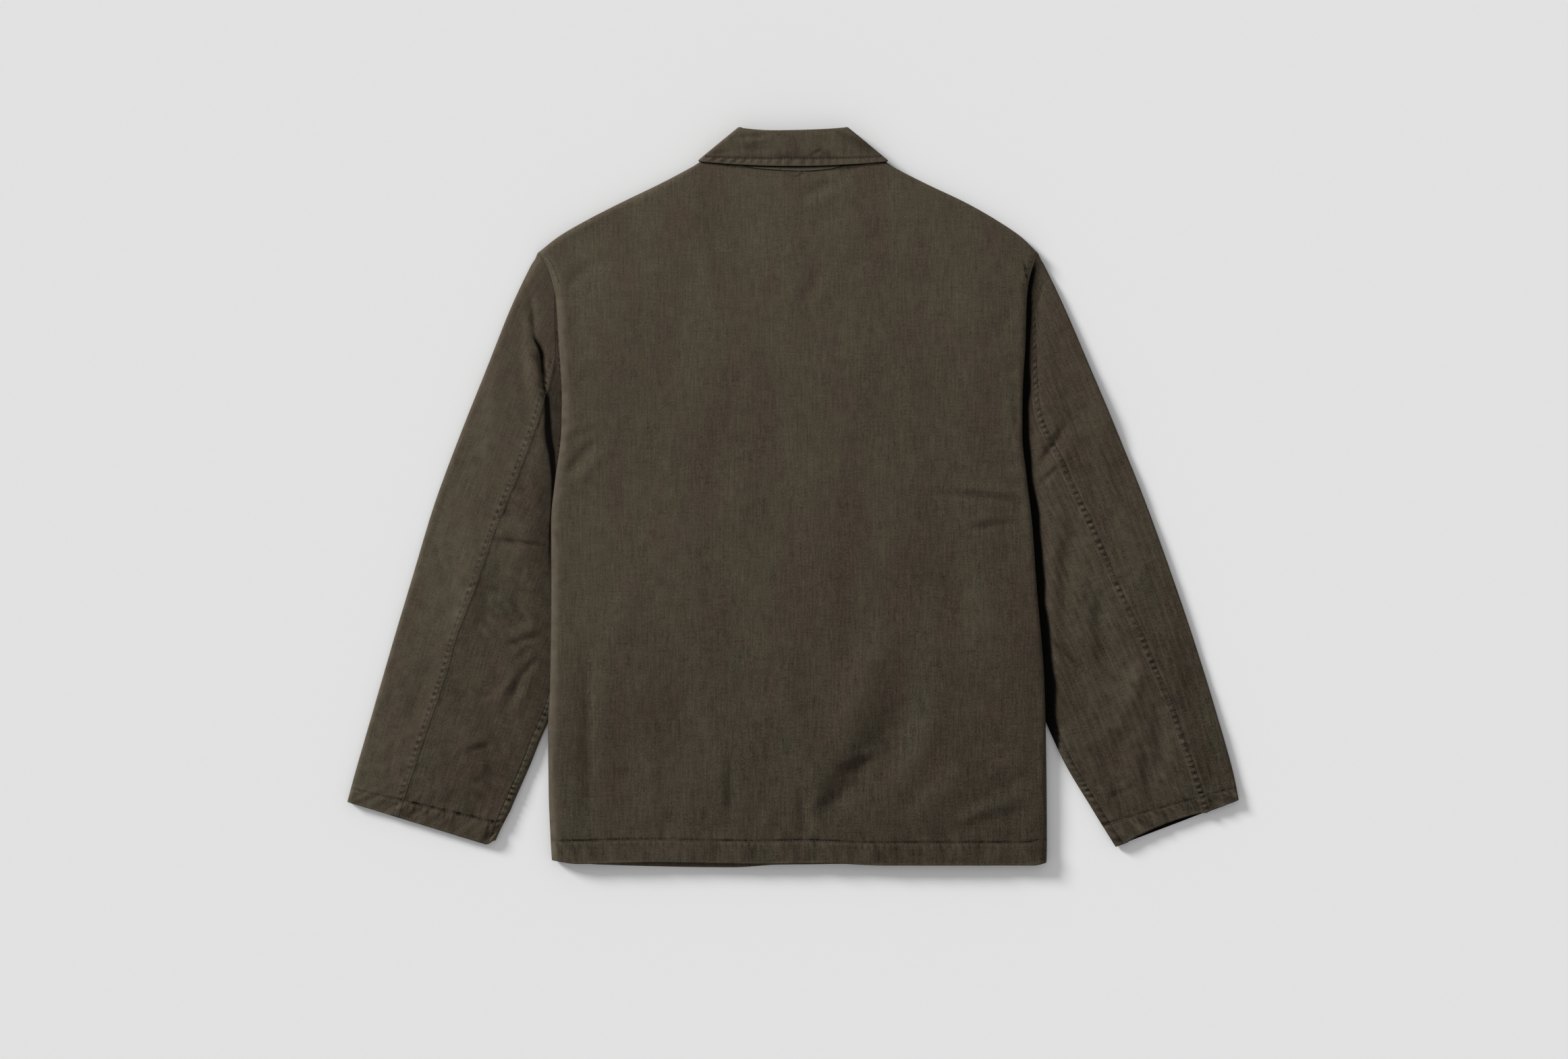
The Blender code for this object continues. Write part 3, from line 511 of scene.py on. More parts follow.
def back_detail(x, y, side, top):
    """Folds, seams and the cloth's own unevenness on the back."""
    calm = ease(side / 14) * ease(top / 18)
    z = fold_rise(BODY_FOLDS, x, y) * ease(side / 16) * ease(top / 25)
    z += (0.55 * ripple(x, y, 60, 3.1) + 0.22 * ripple(x, y, 17, 7.7)) * calm
    up = y - back_hem_y(x)
    z += hem_relief(up, x, HEM_WIDTH, BACK_HEM_SEED) * ease(side / 5)
    z += 0.45 * ripple(x, 0, 26, 9.1) * fall(up / 60) * calm
    armhole = armhole_share(y) * ease(top / 6)
    if armhole > 0 and side < 30:
        z += seam_relief(side, y, BACK_SEAM_SEED) * armhole
    if side < 26:
        z += 0.35 * ripple(side, y, 9, 2.2) * bump(side - 8, 9) * (1 - armhole)
    return z


def back_z(x, y, side, top):
    """Height of the back's outer side, rounded down to its seams at the sides and the top."""
    edge = mix(side_seam_z(y), ARMHOLE_EDGE_Z, armhole_share(y))
    inner = BODY_LOFT + back_detail(x, y, side, top)
    radius = mix(SIDE_RADIUS, ARMHOLE_RADIUS, armhole_share(y))
    z = edge + (inner - edge) * round_rise(side / radius)
    radius = mix(3.0, SIDE_RADIUS, ease((abs(x) - 96) / 26))
    shoulder = SHOULDER_SEAM_Z + (z - SHOULDER_SEAM_Z) * round_rise(top / radius)
    if abs(x) > NECK_HALF + 10:
        return shoulder
    seam = neck_seam_z(x)
    run = mix(26.0, 5.0, ease((abs(x) - 58) / 18))
    neck = seam + (z - seam) * ease(0.25 + top / run) if top > 0.01 else seam
    return mix(neck, shoulder, ease((abs(x) - NECK_HALF + 10) / 20))


def sleeve_under_body(y):
    """1 where a sleeve's inner edge lies under the body's side, and 0 past it."""
    return ease((y + 300) / 60)


def front_top_y(x):
    across = min(abs(x) / NECK_HALF, 1.0)
    if across == 1.0:
        return shoulder_y(x)
    return shoulder_y(NECK_HALF) - FRONT_NECK_DROP * (1 - across**2)


BUTTONS = sorted(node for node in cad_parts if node.startswith("button"))
BUTTON_PLACES = [(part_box(node)[0][1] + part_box(node)[1][1]) / 2 / MM for node in BUTTONS]


def button_lift(x, y):
    """How far the fronts lie above the surface, because the buttons are below them."""
    reach = max(fall((abs(y - place) - 12) / 16) for place in BUTTON_PLACES)
    return BUTTON_LIFT * reach * fall((abs(x) - PLACKET_HALF - 1) / 22)


def floor_lift(x, y, side):
    """How far the fronts lie above the surface, where a sleeve or the collar lies below them."""
    over_sleeve = fall((side - 15) / 22) * ease((238 - y) / 20) * sleeve_under_body(y)
    over_wing = ease((y - 232) / 30) * fall((abs(x) - 128) / 30)
    return max(SLEEVE_CLEARANCE * over_sleeve, COLLAR_WING_CLEARANCE * over_wing)


def front_z(x, y, side, top, lift):
    """Height of a front's outer side, which faces the surface."""
    rest = armhole_share(y)
    edge = mix(side_seam_z(y) - SEAM_GAP, lift, rest)
    z = lift + (edge - lift) * (1 - round_rise(side / mix(SIDE_RADIUS, ARMHOLE_RADIUS, rest)))
    if abs(x) < NECK_HALF:
        return z
    seam = SHOULDER_SEAM_Z - SEAM_GAP
    share = ease((abs(x) - NECK_HALF) / 8)
    return z + (seam - z) * (1 - round_rise(top / SIDE_RADIUS)) * share


def steps(*spans):
    """Places from (end, count) spans, each divided evenly from the end of the one before."""
    places = [0.0]
    for end, count in spans:
        start = places[-1]
        places += [mix(start, end, (i + 1) / count) for i in range(count)]
    return places


def grid_columns(middle, left_limit, right_limit):
    """Columns of a body panel: in from a side edge, or a share of the way across the middle."""
    edges = steps((EDGE_BAND, EDGE_STEPS))
    first = 1 if left_limit is None else 0
    count = middle if left_limit is None and right_limit is None else middle - 1
    columns = [("left", place) for place in edges] if left_limit is None else []
    columns += [("share", (i + first) / count) for i in range(middle - 1)]
    if right_limit is None:
        columns += [("right", place) for place in reversed(edges)]
    return columns


def column_x(column, left, right, left_limit, right_limit):
    """Where a column stands between the body's left and right edges."""
    kind, value = column
    if kind == "left":
        return left + value
    if kind == "right":
        return right - value
    start = left + EDGE_BAND if left_limit is None else left_limit
    end = right - EDGE_BAND if right_limit is None else right_limit
    return mix(start, end, value)


def row_y(share, top, hem):
    """Share 0 to 1 runs down the top band, 1 to 2 down to the hem's band, 2 to 3 to the hem."""
    if share <= 1:
        return top - TOP_BAND * share**1.5
    if share <= 2:
        return mix(top - TOP_BAND, hem + HEM_BAND, share - 1)
    return mix(hem + HEM_BAND, hem, share - 2)


def body_grid(top_y, hem_y, limits, middle, row_counts):
    """Points over a body panel, as (x, y, side distance, distance below the top edge)."""
    columns = grid_columns(middle, *limits)
    rows = []
    for share in steps(*zip((1, 2, 3), row_counts)):
        row = []
        for column in columns:
            nominal = column_x(column, *BODY_EDGES[0][1:], *limits)
            top = top_y(nominal)
            y = row_y(share, top, hem_y(nominal))
            left, right = left_edge(y), right_edge(y)
            x = column_x(column, left, right, *limits)
            row.append((x, y, min(x - left, right - x), top - y))
        rows.append(row)
    return rows


def new_piece(name, bm):
    """An object in the scene from a built mesh."""
    mesh = bpy.data.meshes.new(name)
    bm.to_mesh(mesh)
    bm.free()
    piece = bpy.data.objects.new(name, mesh)
    bpy.context.scene.collection.objects.link(piece)
    return piece


def cloth_sheet(name, rows, uvs, wear_and_painted_shading, node):
    """A shell from a grid of points: outer side first, thickened inwards with Solidify."""
    bm = bmesh.new()
    uv_layer = bm.loops.layers.uv.new("grain")
    wear_and_highlight_layer = bm.verts.layers.float.new("wear_and_painted_shading")
    shade_layer = bm.verts.layers.float.new("shade")
    grid = []
    # Each point's tone: above 0 makes it paler, from rubbing and painted highlights; below 0 makes it
    # darker, with painted shade.
    for row, tone_row in zip(rows, wear_and_painted_shading):
        grid.append([bm.verts.new([c * MM for c in point]) for point in row])
        for vert, amount in zip(grid[-1], tone_row):
            vert[wear_and_highlight_layer] = max(amount, 0.0)
            vert[shade_layer] = max(-amount, 0.0)
    for i in range(len(grid) - 1):
        for j in range(len(grid[0]) - 1):
            corners = ((i, j), (i + 1, j), (i + 1, j + 1), (i, j + 1))
            face = bm.faces.new([grid[a][b] for a, b in corners])
            face.smooth = True
            for loop, (a, b) in zip(face.loops, corners):
                loop[uv_layer].uv = (uvs[a][b][0] * MM, uvs[a][b][1] * MM)
    return finish_cloth(new_piece(name, bm), node)


def finish_cloth(piece, node):
    """Gives a sheet its thickness and finish, and its place on the body."""
    bpy.ops.object.select_all(action="DESELECT")
    bpy.context.view_layer.objects.active = piece
    piece.select_set(True)
    wall = piece.modifiers.new("wall", "SOLIDIFY")
    wall.thickness = sizes().cloth
    wall.offset = -1.0
    wall.use_even_offset = False
    bpy.ops.object.modifier_apply(modifier=wall.name)
    for vert in piece.data.vertices:
        vert.co.z = max(vert.co.z, 0.0)
    piece.data.materials.append(cotton_material())
    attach(piece, "root")
    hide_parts(node)
    return piece


def make_back_piece():
    rows = body_grid(shoulder_y, back_hem_y, (None, None), *BACK_GRID)
    points = [[(x, y, back_z(x, y, side, top)) for x, y, side, top in row] for row in rows]
    uvs = [[spot[:2] for spot in row] for row in rows]
    wear_and_painted_shading = [[back_wear_and_painted_shading(*spot) for spot in row] for row in rows]
    piece = cloth_sheet("back_cloth", points, uvs, wear_and_painted_shading, "back")


def back_wear_and_painted_shading(x, y, side, top):
    """Where the back is paler, above 0, or darker, below 0: pale from rubbing and painted highlights,
    darker with painted shade, and a little darker towards the hem.
    """
    up = y - back_hem_y(x)
    # Painted highlight along the body's left edge, on the side the light comes from; a faint one on
    # the right.
    tone = 1.3 * bump(side - 4.0, 4.6) if x < 0 else 0.08 * bump(side - 3.4, 3.2)
    # Painted shade in a dark line down the pleat at the right armhole.
    if x > 0 and y > 216:
        tone -= 1.1 * bump(x - armhole_pleat(y), 1.3) * ease((y - 216) / 6) * ease((246 - y) / 8)
    tone += painted_fold_shading(BODY_FOLDS, x, y)
    tone += hem_tone(up, x, HEM_WIDTH, BACK_HEM_SEED)
    tone += 0.3 * bump(top - 1, 2.0) * (abs(x) > NECK_HALF)
    # Painted shadow just below the collar leaf's edge.
    under_leaf = fall((leaf_edge_y(x) - y - 0.4) / 1.4)
    tone -= 1.6 * under_leaf * fall((abs(x) - 96) / 4) if y > 330 else 0.0
    armhole = armhole_share(y) * ease(top / 6)
    if armhole > 0 and side < 30:
        tone += seam_tone(side, y, BACK_SEAM_SEED) * armhole
    tone += 0.05 * ripple(x, y * 0.6, 38, 6.6) - 0.05 * ease((-y - 60) / 200)
    return max(min(tone * (0.85 + 0.4 * ripple(x, y, 12, 4.0)), 1.0), -0.9)


def make_front_piece(name, node, limits, layer):
    points, uvs, wear_and_painted_shading = [], [], []
    for row in body_grid(front_top_y, front_hem_y, limits, *FRONT_GRID):
        line = []
        for x, y, side, top in row:
            overlap = fall((abs(x) - PLACKET_HALF - 2) / 24)
            lift = max(floor_lift(x, y, side), button_lift(x, y)) + layer * overlap
            line.append((x, y, front_z(x, y, side, top, lift)))
        points.append(line[::-1])
        uvs.append([spot[:2] for spot in reversed(row)])
        wear_and_painted_shading.append([0.3 * bump(y - front_hem_y(x), 3) for x, y, side, top in row])
    piece = cloth_sheet(name, points, uvs, wear_and_painted_shading, node)


Sleeve = namedtuple("Sleeve", "word side edge reader folds along length")
DOWNS = spread(0.0, 1.0, 201)


def new_sleeve(word, side, edge, rows, table):
    """A sleeve with its true length down the middle, as a reader of the share of the way down."""
    places = spread(0.0, 1.0, len(rows))
    reader = SleeveRow(*[curve(list(zip(places, column))) for column in zip(*rows)])
    middles = []
    for down in DOWNS:
        x = (reader.inner_x(down) + reader.outer_x(down)) / 2
        middles.append((x, (reader.inner_y(down) + reader.outer_y(down)) / 2))
    lengths = [0.0]
    for a, b in zip(middles[:-1], middles[1:]):
        lengths.append(lengths[-1] + math.dist(a, b))
    return Sleeve(word, side, edge, reader, table, curve(list(zip(DOWNS, lengths))), lengths[-1])


def sleeve_parts():
    return (
        new_sleeve("left", -1, left_edge, SLEEVE_LEFT, LEFT_SLEEVE_FOLDS),
        new_sleeve("right", 1, right_edge, SLEEVE_RIGHT, RIGHT_SLEEVE_FOLDS),
    )


def sleeve_width(sleeve, down):
    reader = sleeve.reader
    across = reader.outer_x(down) - reader.inner_x(down)
    return math.hypot(across, reader.outer_y(down) - reader.inner_y(down))


def cuff_distance(sleeve, down):
    return sleeve.length - sleeve.along(down)


def sleeve_plan(sleeve, down, across):
    """Where a share of the way down and across a sleeve lies, as x and y."""
    reader = sleeve.reader
    x = mix(reader.inner_x(down), reader.outer_x(down), across)
    y = mix(reader.inner_y(down), reader.outer_y(down), across)
    if sleeve.side < 0 and down > 0.9:
        y += rounded_corner(sleeve, down, across)
    near = fall(down / 0.1)
    if near <= 0:
        return x, y
    straight = mix(reader.inner_x(0.0), reader.outer_x(0.0), across)
    bulge = sleeve.edge(y) + sleeve.side * ARMHOLE_GAP - straight
    return x + bulge * near * math.sin(math.pi * min(max(across, 0), 1)) ** 0.5, y


def rounded_corner(sleeve, down, across):
    """How far the left cuff's inner corner is drawn up, which rounds it."""
    near = ease(1 - across * sleeve_width(sleeve, down) / CUFF_CORNER)
    return 0.55 * CUFF_CORNER * near**1.5 * fall(cuff_distance(sleeve, down) / 40)


def cuff_gape(sleeve, down, across, z):
    """How far the right cuff's upper layer is drawn up, which opens the cuff a little."""
    if sleeve.side < 0 or down < 0.9 or z < 2:
        return 0.0
    open_share = math.sin(math.pi * min(max((across - 0.1) / 0.62, 0), 1)) ** 0.6
    near = fall(cuff_distance(sleeve, down) / 26)
    return CUFF_GAPE * open_share * near * ease((z - 2) / 3)


def seam_shows(sleeve, y):
    """1 where a sleeve's back seam shows, fading where the left one goes in under the body."""
    return 1.0 if sleeve.side > 0 else ease((152 - y) / 16)


def sleeve_top_z(sleeve, down, place, width):
    """Height of the sleeve's upper layer, pressed down where it runs in under the body."""
    x, y = sleeve_plan(sleeve, down, place / width)
    pressed = fall(sleeve.side * (x - sleeve.edge(y)) / 26)
    pressed *= sleeve_under_body(y) * ease((246 - y) / 30)
    z = SLEEVE_LOFT - (SLEEVE_LOFT - TUCKED_SLEEVE) * pressed
    free = 1 - pressed
    z += fold_rise(sleeve.folds, x, y) * free
    z += (0.5 * ripple(x, y, 44, 11.0) + 0.22 * ripple(x, y, 13, 4.4)) * free
    along = sleeve.along(down)
    seam = sleeve.reader.seam(down) * width
    fell = seam_relief(place - seam, along, SLEEVE_SEAM_SEED + sleeve.side)
    z += fell * free * seam_shows(sleeve, y)
    inner = 0.35 * bump(place - INNER_SEAM_IN, 1.0)
    crimp = pucker(along, PUCKER_STEP, INNER_SEAM_SEED)
    inner -= 0.7 * crimp * bump(place - INNER_SEAM_IN + 2.4, 3.4)
    up = sleeve.length - along
    hem = hem_relief(up, place, CUFF_HEM_WIDTH, CUFF_HEM_SEED + sleeve.side)
    return z - inner * free + hem * free


def sleeve_downs(sleeve):
    """Shares of the way down a sleeve at even steps along it."""
    count = round(sleeve.length / SLEEVE_STEP)
    lengths = [sleeve.along(down) for down in DOWNS]
    return np.interp([sleeve.length * i / count for i in range(count + 1)], lengths, DOWNS).tolist()


def right_valley(x, y):
    """1 in the narrow gap along the body's right edge, where the sleeve goes in under it; there the
    body's shadow is painted dark on the sleeve.
    """
    away = x - right_edge(y)
    width = right_gap_width(y) * (1 + 0.16 * ripple(0, y, 30, 1.7))
    along = ease((250 - y) / 14) * ease((y + 264) / 5)
    return 0.97 * fall((away - width + 1.4) / 3.0) * along


def left_valley(x, y):
    """The shade beside the body's left edge: two sharp creases, and a softer dark beside them."""
    away = left_edge(y) - x
    width = 2.2 + 2.0 * bump(y - 62, 34)
    crease = 0.96 * min(1.6 * bump(x - left_crease(y), width), 1.0)
    crease *= ease((116 - y) / 12) * ease((y + 120) / 90)
    wander = 1.4 * ripple(0, y, 14, 8.8)
    pleat = 0.85 * bump(x - left_pleat(y) + wander, 2.0) + 0.3 * bump(x - left_pleat(y) + 6, 8)
    pleat *= ease((216 - y) / 30) * ease((y - 96) / 14) * (0.4 + 0.6 * ease((174 - y) / 16))
    pleat *= 1 + 0.35 * ripple(0, y, 12, 5.2)
    inside = 0.3 * fall((away - 5) / 8) * ease((122 - y) / 16) * ease((y + 60) / 60)
    soft = 0.32 * bump(y - 10, 150) * fall((away - 2) / 22)
    return max(crease, pleat, inside, soft) * ease((235 - y) / 30)


def sleeve_wear_and_painted_shading(sleeve, down, place, width):
    """Where a sleeve is paler, above 0, or darker, below 0: pale from rubbing and painted highlights,
    darker with painted shade, as in the gaps beside the body.
    """
    x, y = sleeve_plan(sleeve, down, place / width)
    # Painted shadow in the gaps beside the body's edges.
    dark = right_valley(x, y) if sleeve.side > 0 else left_valley(x, y)
    along = sleeve.along(down)
    up = sleeve.length - along
    seam = sleeve.reader.seam(down) * width
    tone = seam_tone(place - seam, along, SLEEVE_SEAM_SEED + sleeve.side) * seam_shows(sleeve, y)
    tone += hem_tone(up, place, CUFF_HEM_WIDTH, CUFF_HEM_SEED + sleeve.side)
    tone += 0.3 * bump(width - place - 2, 3.0) + PANEL_TONES[sleeve.side][place > seam]
    tone += 1.5 * painted_fold_shading(sleeve.folds, x, y) + 0.06 * ripple(x, y, 34, 6.6)
    crimp = pucker(along, PUCKER_STEP, INNER_SEAM_SEED)
    tone += 0.75 * crimp * bump(place - INNER_SEAM_IN + 2.4, 2.6)
    tone *= 0.85 + 0.6 * ripple(along, place, 9, 3.0)
    return max(min(tone * (1 - dark) - dark, 1.0), -0.97)


def sleeve_fold(height, start, end):
    """A folded edge as (how far out from the fold's middle, height), between two angles."""
    points = []
    for angle in spread(start, end, 11):
        points.append((SLEEVE_FOLD * math.cos(angle), height / 2 * (1 + math.sin(angle))))
    return points


def wrapped_points(sleeve, down, width, seam):
    """The large piece from the seam over the outer fold, below and round the inner fold."""

    def top_z(place):
        return sleeve_top_z(sleeve, down, place, width)

    reach = width - SLEEVE_FOLD
    fell = min(9.0, (reach - seam) / 3)
    places = spread(seam + SEAM_GAP / 2, seam + fell, 10, 0) + spread(seam + fell, reach, 26, 0)
    points = [(place, top_z(place), width - place) for place in places]
    height = top_z(reach)
    for out, z in sleeve_fold(height, math.pi / 2, -math.pi / 2):
        points.append((reach + out, z, SLEEVE_FOLD - out if z > height / 2 else -SLEEVE_FOLD + out))
    points += [(place, 0.0, place - width) for place in spread(reach, SLEEVE_FOLD, 12, 0)[1:]]
    for out, z in sleeve_fold(top_z(SLEEVE_FOLD), -math.pi / 2, -math.pi * 1.5):
        points.append((SLEEVE_FOLD + out, z, -width - z))
    for place in spread(SLEEVE_FOLD, INNER_SEAM_IN - SEAM_GAP / 2, 3)[1:]:
        points.append((place, top_z(place), -width - 6 - place))
    return points


def sleeve_section(sleeve, down):
    """Points of the large sleeve piece: (place across, height, grain across, tone); above 0 the tone
    is pale from rubbing and painted highlights, below 0 it is painted shade.
    """
    width = sleeve_width(sleeve, down)
    open_cuff = sleeve.side > 0 and cuff_distance(sleeve, down) < 6
    result = []
    for place, z, grain in wrapped_points(sleeve, down, width, sleeve.reader.seam(down) * width):
        # Inside the right cuff's open end the cloth is painted dark with shade.
        inside = open_cuff and z < 2 and 0.1 < place / width < 0.72
        tone = CUFF_SHADE if inside else sleeve_wear_and_painted_shading(sleeve, down, place, width)
        result.append((place, z, grain, tone))
    return result


def under_section(sleeve, down):
    """Points of the narrow sleeve piece; its two edges go in under the large piece."""
    width = sleeve_width(sleeve, down)
    start = INNER_SEAM_IN - SEAM_TUCK
    end = sleeve.reader.seam(down) * width + SEAM_TUCK
    points = []
    for place in spread(start, end, 65):
        tucked = fall(min(place - start, end - place) / (1.5 * SEAM_TUCK))
        z = sleeve_top_z(sleeve, down, place, width) - SEAM_DROP * tucked
        points.append((place, z, end - place, sleeve_wear_and_painted_shading(sleeve, down, place, width)))
    return points


def make_sleeve_piece(sleeve, kind, section):
    points, uvs, wear_and_painted_shading = [], [], []
    for down in sleeve_downs(sleeve):
        width = sleeve_width(sleeve, down)
        row = section(sleeve, down)[:: sleeve.side]
        line = []
        for place, z, grain, worn_and_painted_shading in row:
            x, y = sleeve_plan(sleeve, down, place / width)
            tucked = fall(down / 0.03) * ease((z - 2) / 4)
            y += cuff_gape(sleeve, down, place / width, z)
            line.append((x - sleeve.side * ARMHOLE_TUCK * tucked, y, max(z, 0.0)))
        points.append(line)
        uvs.append([(grain, -sleeve.along(down)) for place, z, grain, worn_and_painted_shading in row])
        wear_and_painted_shading.append([worn_and_painted_shading for place, z, grain, worn_and_painted_shading in row])
    node = f"sleeve_{kind}_{sleeve.word}"
    piece = cloth_sheet(f"{node}_cloth", points, uvs, wear_and_painted_shading, node)


def collar_line(line, side, part, share):
    """A line round the collar: across the back, over the side fold and in along the wing."""
    side_x = line.half - COLLAR_SIDE_RADIUS * 0.7
    if part == "back":
        z = line.z - line.drop * share**line.power
        return (side * side_x * share, mix(line.middle_y, line.y - 2, share**2), z)
    if part == "wing":
        return (side * mix(side_x, line.front_x, share), mix(line.y - 2, line.front_y, share), 0.0)
    turn = math.pi * share
    out = COLLAR_SIDE_RADIUS * math.sin(turn)
    z = (line.z - line.drop) / 2 * (1 + math.cos(turn))
    return (side * (side_x + out * 0.7), line.y - 2 + out * 0.5, z)


def roll_line(side, part, share):
    """The collar's top fold, which sags a little on one side of its middle."""
    x, y, z = collar_line(ROLL_LINE, side, part, share)
    return x, y - bump(x + 30, 26) * (part == "back"), z


def collar_stations(wing, fold, back):
    """Places along the collar from the wearer's left front to the right."""
    counts = (("wing", wing), ("fold", fold), ("back", back))
    stations = [(part, 1 - i / count) for part, count in counts for i in range(count)]
    left = [(-1, part, share) for part, share in stations]
    right = [(1, part, share) for part, share in reversed(stations)]
    return left + [(1, "back", 0.0)] + right


def collar_frame(side, part, share):
    """The roll point, the way to the leaf's edge, its length, the way up and the roll's depth."""
    roll = Vector(roll_line(side, part, share))
    edge = Vector(collar_line(LEAF_EDGE, side, part, share))
    turned = {"back": 0.0, "wing": 1.0, "fold": share}[part]
    sideways = Vector((side * 0.66, 0.75, 0.0)) * math.sin(math.pi * turned)
    up = Vector((0.0, 0.0, math.cos(math.pi * turned))) + sideways
    depth = mix(ROLL_DEPTH, FRONT_ROLL_DEPTH, turned)
    return roll, (edge - roll).normalized(), (edge - roll).length, up, depth


def leaf_point(side, part, share, place):
    """A point of the leaf: place below 0 runs round the roll, above it to the free edge."""
    roll, along, length, up, depth = collar_frame(side, part, share)
    if place < 0:
        angle = math.pi * -place
        back = depth / 2 * (1 - math.sin(angle))
        under = depth / 2 * (1 - math.cos(angle))
        return roll + along * back - up * under
    run = mix(depth / 2, length, place)
    x = roll.x + roll.y * 0.3
    past = length - run - COLLAR_TOPSTITCH
    relief = 0.3 * ripple(roll.x, run, 22, 6.0) + 0.9 * math.sin(math.pi * place) ** 0.8
    relief += 0.5 * fall(past / 1.2) - 0.5 * bump(past, 0.9)
    relief += 0.45 * pucker(x, 5.5, 2.5) * bump(past + 3, 3.0)
    relief += 0.5 * ripple(x, run * 0.6, 12, 2.9) * bump(past - 4, 8)
    if part == "back":
        spot = roll + along * run
        relief += fold_rise(LEAF_FOLDS, spot.x, spot.y)
    if part == "wing":
        relief = 0.0
    if part == "fold":
        relief *= fall(share * 2)
    return roll + along * run + up * relief


def leaf_edge_y(x):
    """Where the leaf's free edge crosses the back, at its middle and towards its corners."""
    return mix(LEAF_EDGE.middle_y, LEAF_EDGE.y - 2, min(abs(x) / 93.5, 1.0) ** 2)


def leaf_tone(x, inward):
    """How the leaf is paler, above 0, or darker, below 0, by the distance in from its edge: pale by
    its edge and on the band out to the stitched row, painted light and shade on the row's puckers, and
    a dark line at the row with painted shade above it.
    """
    past = inward - COLLAR_TOPSTITCH
    tone = 0.3 * bump(inward - 0.5, 1.0) + 0.55 * fall(past / 1.2)
    tone += 0.42 * pucker(x, 3.6, 2.5) * bump(past + 3, 2.6)
    tone -= 0.32 * bump(past - 3.2, 2.4) * bump(x - 2, 62) * (0.8 + 0.5 * ripple(x, 0, 20, 8.1))
    tone += 0.2 * ripple(x, inward, 17, 1.5) * ease((past - 2) / 6)
    return tone - (0.9 + 0.1 * pucker(x, 4.0, 7.5)) * bump(past - 0.4, 1.3)


def make_leaf_piece():
    places = spread(-1, 0, 12, 0) + spread(0, 1, 41)
    points, uvs, wear_and_painted_shading = [], [], []
    for side, part, share in reversed(collar_stations(12, 12, 120)):
        row = [leaf_point(side, part, share, place) for place in places]
        points.append([tuple(point) for point in row])
        uvs.append([(point.x, point.y) for point in row])
        length = collar_frame(side, part, share)[2]
        tones = [leaf_tone(row[-1].x, length * (1 - place)) for place in places]
        tones = [t + 3 * painted_fold_shading(LEAF_FOLDS, p.x, p.y) for t, p in zip(tones, row)]
        wear_and_painted_shading.append([tone + 0.3 * bump(place, 0.12) for tone, place in zip(tones, places)])
    piece = cloth_sheet("collar_leaf_cloth", points, uvs, wear_and_painted_shading, "collar_leaf")


def neck_line(side, part, share):
    """The stand's lower edge, just inside the neck seam all round."""
    if part == "back":
        x = side * (NECK_HALF - 2) * share
        return (x, shoulder_y(x) + 0.4, neck_seam_z(x) + 1.3 * (1 - share**4))
    if part == "wing":
        x = side * mix(NECK_HALF - 2, 3.0, share)
        return (x, front_top_y(x) + 1.0, COLLAR_WING_CLEARANCE)
    high = neck_seam_z(NECK_HALF)
    return (side * (NECK_HALF - 2), 352.4, mix(high, COLLAR_WING_CLEARANCE, ease(share)))


def make_stand_piece():
    points, uvs, wear_and_painted_shading = [], [], []
    for side, part, share in reversed(collar_stations(12, 12, 50)):
        roll, along, _, up, depth = collar_frame(side, part, share)
        high = roll + along * (depth / 2 + 0.3) - up * (depth - 1.5)
        low = Vector(neck_line(side, part, share))
        run = [mix(high, low, 1 - left**2) for left in spread(1, 0, 25)]
        points.append([tuple(point) for point in run])
        uvs.append([(point.x, point.y) for point in run])
        # Painted shadow just below the leaf's edge, and painted light on the strip below it, which the
        # leaf would shade.
        stitched = 0.15 * pucker(high.x, 3.2, 1.1)
        lit = [ease((leaf_edge_y(point.x) - point.y - 1.0) / 1.2) for point in run]
        wear_and_painted_shading.append([mix(-0.95, 0.85 + stitched, share) for share in lit])
    piece = cloth_sheet("collar_stand_cloth", points, uvs, wear_and_painted_shading, "collar_stand")


def new_group(name, inputs, outputs):
    """An empty shader group with its named sockets: floats have a number as their default."""
    group = bpy.data.node_groups.new(name, "ShaderNodeTree")
    for label, value in inputs:
        kind = "NodeSocketFloat" if isinstance(value, float) else "NodeSocketVector"
        socket = group.interface.new_socket(label, in_out="INPUT", socket_type=kind)
        if value is not None:
            socket.default_value = value
    for label in outputs:
        group.interface.new_socket(label, in_out="OUTPUT", socket_type="NodeSocketFloat")
    return group, group.nodes.new("NodeGroupInput"), group.nodes.new("NodeGroupOutput")


def feed(tree, socket, value):
    """Links an output to a socket, or sets the socket to a plain value."""
    if hasattr(value, "links"):
        tree.links.new(value, socket)
    else:
        socket.default_value = value


def feed_all(tree, node, inputs):
    for label, value in inputs.items():
        feed(tree, node.inputs[label], value)


def add_node(tree, kind, output, inputs, **settings):
    """One output of a new node with these settings and inputs."""
    node = tree.nodes.new("ShaderNode" + kind)
    for name, value in settings.items():
        setattr(node, name, value)
    feed_all(tree, node, inputs)
    return node.outputs[output]


def maths(tree, operation, *terms):
    """The result of a math node over outputs and plain numbers."""
    return add_node(tree, "Math", 0, dict(enumerate(terms)), operation=operation)


